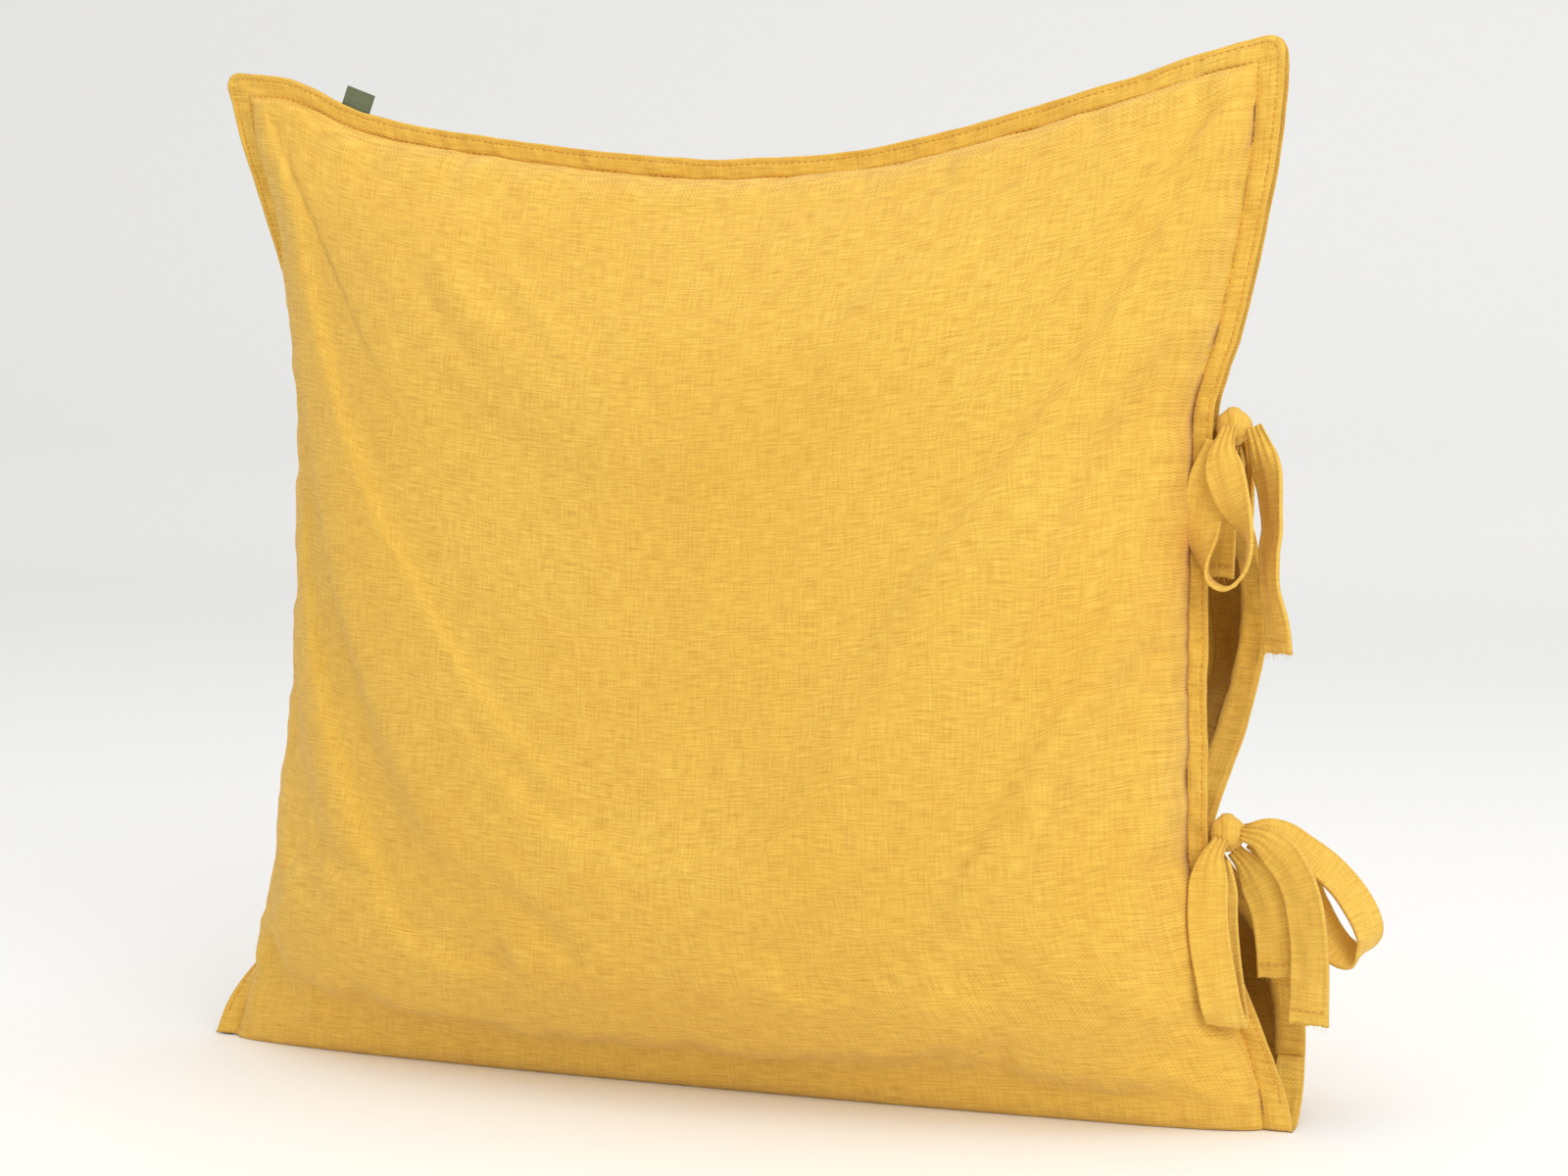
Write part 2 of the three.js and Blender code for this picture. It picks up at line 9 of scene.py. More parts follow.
import bpy
import numpy as np
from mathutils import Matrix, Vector


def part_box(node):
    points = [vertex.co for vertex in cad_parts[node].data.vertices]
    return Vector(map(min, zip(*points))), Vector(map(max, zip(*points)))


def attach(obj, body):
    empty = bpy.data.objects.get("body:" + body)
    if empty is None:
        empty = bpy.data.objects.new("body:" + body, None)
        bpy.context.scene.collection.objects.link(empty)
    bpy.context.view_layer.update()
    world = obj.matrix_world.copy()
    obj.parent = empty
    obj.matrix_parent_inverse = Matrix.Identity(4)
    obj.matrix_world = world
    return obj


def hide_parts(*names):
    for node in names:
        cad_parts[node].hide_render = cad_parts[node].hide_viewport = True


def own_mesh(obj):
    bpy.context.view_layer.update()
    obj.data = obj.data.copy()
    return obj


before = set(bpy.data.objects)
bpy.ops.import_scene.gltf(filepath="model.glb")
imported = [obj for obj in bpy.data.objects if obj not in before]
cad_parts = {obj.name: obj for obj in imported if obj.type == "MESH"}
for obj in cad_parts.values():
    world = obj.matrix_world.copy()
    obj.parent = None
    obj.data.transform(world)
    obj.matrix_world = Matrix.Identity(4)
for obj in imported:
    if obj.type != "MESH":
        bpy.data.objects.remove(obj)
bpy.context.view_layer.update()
LOG = logging.getLogger("floor_cushion")
MM = 0.001


# ---------------------------------------------------------------- named options
class Face(Enum):
    """The two faces of the cover, with the sign of their Y side."""

    FRONT = -1
    BACK = 1

    @property
    def word(self) -> str:
        """Lower-case name, as the model's nodes use it."""
        return self.name.lower()


class Edge(Enum):
    """Edges of the cover that carry the stitched hem."""

    CLOSED_SIDE = "closed_side"
    TOP = "top"
    MOUTH = "mouth"


# ---------------------------------------------------------------- small maths
def smooth(k: np.ndarray) -> np.ndarray:
    """Smooth step of a share that is clipped to 0..1.

    Args:
        k: the share.

    Returns:
        The eased share, from 0 to 1.
    """
    k = np.clip(k, 0.0, 1.0)
    return k * k * (3.0 - 2.0 * k)


def bump(d: np.ndarray, centre: float, width: float) -> np.ndarray:
    """Bell curve of the distance d about centre.

    Args:
        d: the distance or share.
        centre: where the curve is 1.
        width: distance over which it falls to 1/e.

    Returns:
        Values from 0 to 1.
    """
    return np.exp(-(((d - centre) / width) ** 2))


class Noise:
    """Seeded smooth value noise from -1 to 1, in one or two dimensions."""

    SIZE = 128

    def __init__(self, seed: int) -> None:
        """Draws the lattice.

        Args:
            seed: number that fixes the pattern.
        """
        draw = np.random.RandomState(seed)
        self.lattice = draw.uniform(-1.0, 1.0, (self.SIZE, self.SIZE))

    def at(self, x: np.ndarray, y: np.ndarray | float = 0.0) -> np.ndarray:
        """Noise at points given in lattice cells.

        Args:
            x: first coordinate, in cells.
            y: second coordinate, in cells.

        Returns:
            Values from -1 to 1.
        """
        x, y = np.broadcast_arrays(np.asarray(x, float), np.asarray(y, float))
        i, j = np.floor(x).astype(int), np.floor(y).astype(int)
        u, v = smooth(x - i), smooth(y - j)
        a, b, n = self.lattice, i % self.SIZE, self.SIZE
        c, d, e = j % n, (i + 1) % n, (j + 1) % n
        low = a[b, c] * (1 - u) + a[d, c] * u
        high = a[b, e] * (1 - u) + a[d, e] * u
        return low * (1 - v) + high * v


# ---------------------------------------------------------------- mesh helpers
def new_mesh(
    name: str,
    points: np.ndarray,
    faces: Sequence[Sequence[int]],
    uvs: np.ndarray | None = None,
) -> bpy.types.Object:
    """A smooth-shaded mesh object from arrays.

    Args:
        name: object name.
        points: vertex positions, one row each, in metres.
        faces: vertex indices of each face.
        uvs: flat cloth coordinates of each vertex, or None.

    Returns:
        The new object, linked into the scene.
    """
    mesh = bpy.data.meshes.new(name)
    mesh.from_pydata([tuple(p) for p in points], [], [tuple(int(i) for i in f) for f in faces])
    if uvs is not None:
        layer = mesh.uv_layers.new(name="cloth")
        corner = np.empty(len(mesh.loops), np.int32)
        mesh.loops.foreach_get("vertex_index", corner)
        layer.data.foreach_set("uv", np.asarray(uvs, np.float32)[corner].ravel())
    mesh.polygons.foreach_set("use_smooth", [True] * len(mesh.polygons))
    mesh.update()
    thing = bpy.data.objects.new(name, mesh)
    bpy.context.scene.collection.objects.link(thing)
    return thing


def grid_faces(rows: int, columns: int, flip: bool, start: int = 0) -> list[tuple[int, int, int, int]]:
    """Quads of a grid of vertices stored row by row.

    Args:
        rows: number of rows.
        columns: number of columns.
        flip: turn every face round.
        start: index of the first vertex.

    Returns:
        The list of faces.
    """
    j, i = np.meshgrid(np.arange(rows - 1), np.arange(columns - 1), indexing="ij")
    a = start + j * columns + i
    quads = np.stack([a, a + 1, a + columns + 1, a + columns], -1).reshape(-1, 4)
    if flip:
        quads = quads[:, ::-1]
    return [tuple(q) for q in quads]


def shell(name: str, outer: np.ndarray, inner: np.ndarray, uvs: np.ndarray, flip: bool) -> bpy.types.Object:
    """Closed thin shell between two grids of the same size.

    Args:
        name: object name.
        outer: outer face, as rows by columns by 3.
        inner: inner face, the same size.
        uvs: cloth coordinates, as rows by columns by 2.
        flip: whether the outer grid's faces have to be turned round.

    Returns:
        The new object.
    """
    rows, columns = outer.shape[:2]
    count = rows * columns
    faces = grid_faces(rows, columns, flip) + grid_faces(rows, columns, not flip, count)
    ring = [(0, i) for i in range(columns)] + [(j, columns - 1) for j in range(1, rows)]
    ring += [(rows - 1, i) for i in range(columns - 2, -1, -1)] + [(j, 0) for j in range(rows - 2, 0, -1)]
    index = [j * columns + i for j, i in ring]
    for a, b in zip(index, index[1:] + index[:1]):
        wall = (a, a + count, b + count, b)
        faces.append(wall[::-1] if flip else wall)
    points = np.concatenate([outer.reshape(-1, 3), inner.reshape(-1, 3)])
    flat = np.concatenate([uvs.reshape(-1, 2)] * 2)
    return new_mesh(name, points, faces, flat)


def many(
    name: str,
    template: np.ndarray,
    faces: Sequence[Sequence[int]],
    frames: np.ndarray,
    origins: np.ndarray,
) -> bpy.types.Object:
    """Copies of one small shape, joined in one mesh.

    Args:
        name: object name.
        template: vertices of the shape in its own frame.
        faces: its faces.
        frames: for each copy, the three axes of its frame as rows.
        origins: place of each copy.

    Returns:
        The new object.
    """
    points = np.einsum("vk,nkj->nvj", template, frames) + origins[:, None, :]
    base = np.arange(len(origins)) * len(template)
    every = [tuple(b + i for i in f) for b in base for f in faces]
    uvs = points.reshape(-1, 3)[:, [0, 2]]
    return new_mesh(name, points.reshape(-1, 3), every, uvs)


# ---------------------------------------------------------------- the shape of the stuffed cover
@dataclass(frozen=True)
class CoverShape:
    """Outline and bulge of the standing, stuffed cover, in metres.

    s runs from -1, closed side, to 1, mouth. t runs from 0, floor, to 1, top edge, and t below 0 is the part
    of the base that lies on the floor.
    """

    height: float = 533 * MM
    top_width: float = 584 * MM
    base_width: float = 616 * MM
    top_sag: float = 47 * MM
    side_pinch: float = 44 * MM
    thickness: float = 196 * MM
    cloth: float = 1.6 * MM
    seam_gap: float = 0.3 * MM
    hem: float = 15 * MM
    seam_y: float = -15 * MM
    upper_tie: float = 348 * MM
    lower_tie: float = 147 * MM
    upper_inset: float = 33 * MM
    lower_inset: float = 40 * MM
    front_gape: float = 5 * MM
    upper_gape: float = 84 * MM
    lower_gape: float = 66 * MM
    front_room: float = 3.2 * MM
    back_room: float = 3.4 * MM
    base_height: float = 110 * MM
    front_depth: float = 5 * MM
    back_depth: float = 20 * MM
    front_share: float = 0.6
    back_share: float = 1.0

    def corner_x(self, t: np.ndarray) -> np.ndarray:
        """Half width between the corners at height share t.

        Args:
            t: share up, from 0 at the floor to 1 at the top.

        Returns:
            Half widths, in metres.
        """
        return (self.base_width + (self.top_width - self.base_width) * t) / 2

    def closed_x(self, t: np.ndarray) -> np.ndarray:
        """X of the closed side's edge.

        Args:
            t: share up, from 0 at the floor to 1 at the top.

        Returns:
            X values, in metres.
        """
        return -self.corner_x(t) + self.side_pinch * (1 - np.abs(2 * t - 1) ** 2.3)

    def mouth_x(self, t: np.ndarray) -> np.ndarray:
        """X of the mouth's edge, drawn in at the two ties.

        Args:
            t: share up, from 0 at the floor to 1 at the top.

        Returns:
            X values, in metres.
        """
        up, low = self.upper_tie / self.height, self.lower_tie / self.height
        above = self.upper_inset * (1 - smooth((np.maximum(t - up, 0) / (1 - up)) ** 0.8))
        below = self.lower_inset * smooth((np.maximum(t, 0) / low) ** 0.9)
        between = self.lower_inset + (self.upper_inset - self.lower_inset) * (t - low) / (up - low)
        inset = np.where(t >= up, above, np.where(t <= low, below, between))
        return self.corner_x(t) - inset

    def top_z(self, s: np.ndarray) -> np.ndarray:
        """Height of the sagging top edge.

        Args:
            s: share across, from -1 at the closed side to 1 at the mouth.

        Returns:
            Heights, in metres.
        """
        power = 1.5 + (1.15 - 1.5) * (s + 1) / 2
        rounding = 0.12

        def rise(a: np.ndarray | float) -> np.ndarray:
            """Distance run from the middle, rounded at the middle.

            Args:
                a: share from the middle.

            Returns:
                The rounded distance.
            """
            return np.hypot(a, rounding) ** power - rounding**power

        return self.height - self.top_sag * (1 - rise(s) / rise(1.0))

    def bulge(self, s: np.ndarray, t: np.ndarray, face: Face) -> np.ndarray:
        """Half thickness of the stuffed cover.

        Args:
            s: share across.
            t: share up.
            face: which side's half.

        Returns:
            Distance from the seam plane, in metres.
        """
        back = face is Face.BACK
        depth = self.back_depth if back else self.front_depth
        side_seam = 1 - 2 * self.hem / self.top_width
        top_seam = 1 - self.hem / self.height
        across = 1 - np.minimum(1, np.abs(s) / side_seam) ** 2.4
        rise = (np.clip(t / top_seam, 0, 1) * self.height + depth) / (self.height + depth)
        up = 1 - np.abs(2 * rise**0.85 - 1) ** 2.4
        low = self.back_share if back else self.front_share
        share = low + (1 - low) * smooth(t * self.height / self.base_height)
        return share * self.thickness / 2 * np.maximum(0, across * up) ** 0.42

    def gape(self, t: np.ndarray, face: Face) -> np.ndarray:
        """How far one edge of the mouth stands away from the seam plane.

        Args:
            t: share up, from 0 at the floor to 1 at the top.
            face: front or back.

        Returns:
            Distances, in metres.
        """
        back = face is Face.BACK
        up, low = self.upper_tie / self.height, self.lower_tie / self.height
        room = self.back_room if back else self.front_room
        high = self.upper_gape if back else self.front_gape
        under = self.lower_gape if back else self.front_gape

        def hump(a: float, b: float) -> np.ndarray:
            """Rounded rise between two heights.

            Args:
                a: lower height share.
                b: upper height share.

            Returns:
                Values from 0 to 1.
            """
            return np.sin(np.pi * np.clip((t - a) / (b - a), 0, 1)) ** 1.4

        return room * smooth((1 - t) / 0.03) + high * hump(low, up) + under * hump(0, low)

    def middle(self, s: np.ndarray, t: np.ndarray, face: Face) -> np.ndarray:
        """Middle of one panel's cloth.

        Args:
            s: share across.
            t: share up, negative on the floor.
            face: front or back panel.

        Returns:
            Points, with a last axis of 3.
        """
        s, t = np.broadcast_arrays(np.asarray(s, float), np.asarray(t, float))
        tt = np.maximum(0, t)
        x = (self.closed_x(tt) * (1 - s) + self.mouth_x(tt) * (1 + s)) / 2
        full = self.bulge(s, tt, face) + smooth((s - 0.55) / 0.43) * self.gape(tt, face)
        out = np.where(t < 0, full * (1 + t), full)
        z = np.maximum(self.cloth / 2, tt * self.top_z(s))
        y = self.seam_y + face.value * (out + (self.seam_gap + self.cloth) / 2)
        return np.stack([x, y, z], -1)

    def normal(self, s: np.ndarray, t: np.ndarray, face: Face, surface: Callable | None = None) -> np.ndarray:
        """Outward unit normal, by differences.

        Args:
            s: share across.
            t: share up.
            face: front or back panel.
            surface: function of s, t and face, or None for the panel's middle.

        Returns:
            Unit vectors, with a last axis of 3.
        """
        point = surface or self.middle
        h = 0.004
        ds = point(np.minimum(1, s + h), t, face) - point(np.maximum(-1, s - h), t, face)
        dt = point(s, np.minimum(1, t + h), face) - point(s, np.maximum(-1, t - h), face)
        n = np.cross(ds, dt) * (1 if face is Face.FRONT else -1)
        size = np.linalg.norm(n, axis=-1, keepdims=True)
        flat = np.zeros_like(n)
        flat[..., 1] = face.value
        return np.where(size > 1e-12, n / np.maximum(size, 1e-12), flat)

    def flat_uv(self, s: np.ndarray, t: np.ndarray) -> np.ndarray:
        """Flat cloth coordinates in metres: X across and Y up the uncut panel.

        Args:
            s: share across, from -1 at the closed side to 1 at the mouth.
            t: share up, from 0 at the floor to 1 at the top.

        Returns:
            Coordinates, with a last axis of 2.
        """
        s, t = np.broadcast_arrays(np.asarray(s, float), np.asarray(t, float))
        return np.stack([(s + 1) / 2 * 0.6, t * 0.6], -1)


@dataclass
class Relief:
    """Small shape of the sewn linen: hem, stitch grooves, puckers, folds and the simulated creases."""

    shape: CoverShape
    outer_row: float = 3.2 * MM
    inner_row: float = 12.5 * MM
    hem_rise: float = 0.55 * MM
    groove: float = 0.4 * MM
    pucker: float = 1.5 * MM
    reach: float = 34 * MM
    swell: float = 2.2 * MM
    fold: float = 2.6 * MM
    corner_radius: float = 11 * MM
    drape: dict = field(default_factory=dict)
    fine: Noise = field(default_factory=lambda: Noise(11))
    broad: Noise = field(default_factory=lambda: Noise(23))

    def edges(self, s: np.ndarray, t: np.ndarray) -> dict[Edge, tuple[np.ndarray, np.ndarray]]:
        """Distance from each hemmed edge, and the run along it, in metres.

        Args:
            s: share across, from -1 at the closed side to 1 at the mouth.
            t: share up, from 0 at the floor to 1 at the top.

        Returns:
            The two distances for each edge.
        """
        half = self.shape.top_width / 2
        up = t * self.shape.height
        return {
            Edge.CLOSED_SIDE: ((1 + s) * half, up),
            Edge.TOP: ((1 - t) * self.shape.height, s * half),
            Edge.MOUTH: ((1 - s) * half, up + 1.7),
        }

    def hem_relief(self, s: np.ndarray, t: np.ndarray) -> np.ndarray:
        """Raised hem band with its two sunk stitch rows and the puckers that they draw up.

        Args:
            s: share across, from -1 at the closed side to 1 at the mouth.
            t: share up, from 0 at the floor to 1 at the top.

        Returns:
            Heights off the cloth, in metres.
        """
        total = np.zeros(np.broadcast(s, t).shape)
        band_all = np.zeros_like(total)
        for edge, (d, run) in self.edges(s, t).items():
            strength = 1.5 if edge is Edge.MOUTH else 1.0
            band = 1 - smooth((d - self.shape.hem) / (1.2 * MM))
            band_all = np.maximum(band_all, band)
            rows = bump(d, self.outer_row, 1.1 * MM) + 1.15 * bump(d, self.inner_row, 1.3 * MM)
            wave = self.fine.at(run / (5.2 * MM), 3.3)
            wave = wave + 0.7 * self.fine.at(run / (2.9 * MM) + 9, 8.1 + d / (20 * MM))
            between = bump(d, (self.outer_row + self.inner_row) / 2, 5.2 * MM)
            total += band * (strength * self.pucker * wave * between - self.groove * rows)
            beyond = np.clip((d - self.inner_row) / self.reach, 0, 4)
            ripple = self.fine.at(run / (13 * MM) + 40, d / (60 * MM))
            ripple = ripple + 0.5 * self.fine.at(run / (7 * MM) + 70, 1.5)
            rising = smooth((d - self.inner_row) / (6 * MM))
            total += strength * 1.7 * MM * ripple * rising * np.exp(-2.2 * beyond)
        return total + self.hem_rise * band_all

    def folds(self, s: np.ndarray, t: np.ndarray, face: Face) -> np.ndarray:
        """Soft swells across the panel, and pulls that fan out from the ties and the corners.

        Args:
            s: share across, from -1 at the closed side to 1 at the mouth.
            t: share up, from 0 at the floor to 1 at the top.
            face: front or back.

        Returns:
            Heights off the cloth, in metres.
        """
        x, z = s * self.shape.top_width / 2, t * self.shape.height
        shift = 0.0 if face is Face.FRONT else 31.0
        inside = smooth((1 - np.abs(s)) / 0.12) * smooth((1 - t) / 0.09) * smooth((t + 0.02) / 0.1)
        swell = self.broad.at(x / 0.085 + shift, z / 0.12 + 5)
        swell = swell + 0.45 * self.broad.at(x / 0.036 + shift, z / 0.07 + 9)
        total = self.swell * swell * inside
        half = self.shape.top_width / 2
        spots = [(half, self.shape.upper_tie, 1.0), (half, self.shape.lower_tie, 1.0)]
        spots += [(half, self.shape.height, 0.8), (-half, self.shape.height, 0.8)]
        spots += [(-half, 0.0, 0.7), (half, 0.0, 0.9)]
        for index, (px, pz, weight) in enumerate(spots):
            radius = np.hypot(x - px, z - pz)
            angle = np.arctan2(z - pz, px - x + 1e-9)
            fan = self.fine.at(angle * 4.6 + 13 * index + shift, 0.5 + radius / 0.16)
            total += weight * self.fold * fan * np.exp(-radius / 0.062) * smooth((radius - 0.012) / 0.03)
        return total

    def flutter(self, s: np.ndarray, t: np.ndarray) -> np.ndarray:
        """Sideways and up-and-down waver of the free hem, the same for both faces, as vectors.

        Args:
            s: share across, from -1 at the closed side to 1 at the mouth.
            t: share up, from 0 at the floor to 1 at the top.

        Returns:
            Vectors to add to the cloth's points, with a last axis of 3.
        """
        total = np.zeros(np.broadcast(s, t).shape + (3,))
        for edge, (d, run) in self.edges(s, t).items():
            near = np.exp(-((d / (16 * MM)) ** 2)) * smooth(t / 0.06)
            sway = self.broad.at(run / 0.075 + 17, 2.5) + 0.4 * self.broad.at(run / 0.028 + 3, 6.5)
            edgeways = self.fine.at(run / 0.022 + 5, 4.5) + 0.5 * self.fine.at(run / 0.009 + 5, 7.5)
            if edge is not Edge.MOUTH:
                total[..., 1] += 2.4 * MM * near * sway
            axis = 2 if edge is Edge.TOP else 0
            total[..., axis] += 0.7 * MM * near * edgeways
        return total

    def outline(self, s: np.ndarray, t: np.ndarray, face: Face) -> np.ndarray:
        """Departures of the soft outline from the plain model: corners, top edge, sides and mouth.

        Args:
            s: share across, from -1 at the closed side to 1 at the mouth.
            t: share up, from 0 at the floor to 1 at the top.
            face: front or back.

        Returns:
            Vectors to add to the cloth's points, with a last axis of 3.
        """
        total = np.zeros(np.broadcast(s, t).shape + (3,))
        lift = 12 * bump(s, -0.87, 0.12) - 6 * bump(s, 0.34, 0.26)
        lift = lift + 6.5 * bump(s, 1.0, 0.22) + 4 * bump(s, -1.0, 0.06)
        total[..., 2] += MM * lift * smooth((t - 0.72) / 0.28)
        closed = smooth((-s - 0.5) / 0.5)
        total[..., 0] -= MM * closed * (-3.5 * bump(t, 0.52, 0.33) + 5 * bump(t, 0.95, 0.07))
        total += self.rounded_corners(s, t)
        mouth = smooth((s - 0.55) / 0.45)
        up, low = self.shape.upper_tie / self.shape.height, self.shape.lower_tie / self.shape.height
        above = smooth((t - up) / 0.1)
        total[..., 0] += MM * mouth * 5.6 * above
        if face is Face.BACK:
            open_middle = np.sin(np.pi * np.clip((t - low) / (up - low), 0, 1))
            open_low = np.sin(np.pi * np.clip(t / low, 0, 1))
            total[..., 0] += MM * mouth * (9 * open_middle + 8 * open_low)
        return total

    def rounded_corners(self, s: np.ndarray, t: np.ndarray) -> np.ndarray:
        """Draws the two top corners in from a square tip to a rounded one.

        Args:
            s: share across, from -1 at the closed side to 1 at the mouth.
            t: share up, from 0 at the floor to 1 at the top.

        Returns:
            Vectors to add to the cloth's points, with a last axis of 3.
        """
        total = np.zeros(np.broadcast(s, t).shape + (3,))
        radius = self.corner_radius
        a = np.clip(1 - (1 - np.abs(s)) * self.shape.top_width / 2 / radius, 0, 1)
        b = np.clip(1 - (1 - t) * self.shape.height / radius, 0, 1)
        longest = np.hypot(a, b)
        pull = np.maximum(a, b) / np.maximum(longest, 1e-9) - 1
        pull = np.where((a > 0) & (b > 0), pull, 0.0)
        total[..., 0] = np.sign(s) * a * pull * radius
        total[..., 2] = b * pull * radius
        return total

    def turned(self, s: np.ndarray, t: np.ndarray) -> np.ndarray:
        """The closed side's hem, pushed round towards the back by the bulge, except near its two corners.

        Args:
            s: share across, from -1 at the closed side to 1 at the mouth.
            t: share up, from 0 at the floor to 1 at the top.

        Returns:
            Vectors to add to the cloth's points, with a last axis of 3.
        """
        total = np.zeros(np.broadcast(s, t).shape + (3,))
        free = np.clip(self.shape.hem - (1 + s) * self.shape.top_width / 2, 0, None)
        angle = math.radians(72) * smooth((t - 0.02) / 0.09) * (1 - smooth((t - 0.66) / 0.24))
        total[..., 0] = free * (1 - np.cos(angle))
        total[..., 1] = free * np.sin(angle)
        return total

    def draped(self, s: np.ndarray, t: np.ndarray, face: Face) -> np.ndarray:
        """Creases kept from the cloth simulation, at each point.

        Args:
            s: share across, from -1 at the closed side to 1 at the mouth.
            t: share up, from 0 at the floor to 1 at the top.
            face: front or back.

        Returns:
            Vectors to add to the cloth's points, with a last axis of 3.
        """
        s, t = np.broadcast_arrays(np.asarray(s, float), np.asarray(t, float))
        if face not in self.drape:
            return np.zeros(s.shape + (3,))
        grid = self.drape[face]
        rows, columns = grid.shape[:2]
        i = np.clip((s + 1) / 2 * (columns - 1), 0, columns - 1.001)
        j = np.clip(t * (rows - 1), 0, rows - 1.001)
        a, b = i.astype(int), j.astype(int)
        u, v = (i - a)[..., None], (j - b)[..., None]
        low = grid[b, a] * (1 - u) + grid[b, a + 1] * u
        high = grid[b + 1, a] * (1 - u) + grid[b + 1, a + 1] * u
        return low * (1 - v) + high * v

    def surface(self, s: np.ndarray, t: np.ndarray, face: Face, lift: float = 0.0) -> np.ndarray:
        """Outer face of the finished cloth.

        Args:
            s: share across.
            t: share up.
            face: front or back.
            lift: extra distance off the cloth.

        Returns:
            Points, with a last axis of 3.
        """
        shape = self.shape
        height = self.hem_relief(s, t) + self.folds(s, t, face) * smooth(t / 0.05)
        n = shape.normal(s, t, face)
        moved = self.flutter(s, t) + self.outline(s, t, face) + self.turned(s, t) + self.draped(s, t, face)
        p = shape.middle(s, t, face) + n * (shape.cloth / 2 + height + lift)[..., None] + moved
        p[..., 2] = np.maximum(p[..., 2], 0.0)
        return p


@dataclass
class DrapeSimulation:
    """Cloth simulation of one stuffed panel: slack linen, sewn at its hems, pressed out by the filling."""

    shape: CoverShape
    columns: int = 78
    rows: int = 70
    frames: int = 26
    slack: float = 0.03
    pressure: float = 2.2
    blur: int = 7
    gain: float = 1.6
    limit: float = 3.2 * MM
    floor_share: float = 0.03
    quality: int = 5
    mass: float = 0.08
    stretch_stiffness: float = 18
    shear_stiffness: float = 6
    bending_stiffness: float = 0.08

    def _soften(self, moves: np.ndarray) -> np.ndarray:
        """Running mean of a grid of vectors over both directions.

        Args:
            moves: vectors on an even grid.

        Returns:
            The smoothed grid.
        """
        kernel = np.ones(2 * self.blur + 1) / (2 * self.blur + 1)
        for axis in (0, 1):
            pad = [(0, 0)] * 3
            pad[axis] = (self.blur, self.blur)
            wide = np.pad(moves, pad, mode="edge")
            moves = np.apply_along_axis(lambda v: np.convolve(v, kernel, "valid"), axis, wide)
        return moves

    def run(self, face: Face) -> np.ndarray:
        """Simulates one panel.

        Args:
            face: front or back.

        Returns:
            The creases it leaves, as movements on an even grid of rows by columns.
        """
        s, t = np.meshgrid(np.linspace(-1, 1, self.columns), np.linspace(0, 1, self.rows))
        rest = self.shape.middle(s, t, face)
        quads = grid_faces(self.rows, self.columns, face is Face.BACK)
        cloth = new_mesh(f"{face.word}_drape_trial", rest.reshape(-1, 3), quads)
        sewn = cloth.vertex_groups.new(name="sewn")
        hem = 1.2 * self.shape.hem
        at_sides = 1 - np.abs(s) < 2 * hem / self.shape.top_width
        at_top = 1 - t < hem / self.shape.height
        held = at_sides | at_top | (t < self.floor_share)
        sewn.add([int(i) for i in np.flatnonzero(held)], 1.0, "REPLACE")
        settings = cloth.modifiers.new("drape", "CLOTH").settings
        settings.quality = self.quality
        settings.mass = self.mass
        settings.tension_stiffness = self.stretch_stiffness
        settings.compression_stiffness = self.stretch_stiffness
        settings.shear_stiffness = self.shear_stiffness
        settings.bending_stiffness = self.bending_stiffness
        settings.shrink_min = -self.slack
        settings.use_pressure = True
        settings.uniform_pressure_force = self.pressure
        settings.vertex_group_mass = "sewn"
        cloth.modifiers["drape"].collision_settings.use_collision = False
        scene = bpy.context.scene
        for step in range(1, self.frames + 1):
            scene.frame_set(step)
        seen = cloth.evaluated_get(bpy.context.evaluated_depsgraph_get()).to_mesh()
        moved = np.empty(len(seen.vertices) * 3, np.float32)
        seen.vertices.foreach_get("co", moved)
        bpy.data.objects.remove(cloth)
        scene.frame_set(1)
        change = moved.reshape(rest.shape).astype(float) - rest
        creases = (change - self._soften(change)) * self.gain
        inside = smooth((1 - np.abs(s)) / 0.07) * smooth((1 - t) / 0.06) * smooth(t / 0.04)
        creases = self.limit * np.tanh(creases / self.limit) * inside[..., None]
        most, kept = np.abs(change).max() / MM, np.abs(creases).max() / MM
        LOG.info("drape %s: slack moved it %.1f mm, creases to %.1f mm", face.word, most, kept)
        return creases


# ---------------------------------------------------------------- finishes
def socket_value(node: bpy.types.Node, name: str, value: object) -> None:
    """Sets one input socket's own value.

    Args:
        node: the shader node.
        name: the input's name.
        value: what to set.
    """
    node.inputs[name].default_value = value


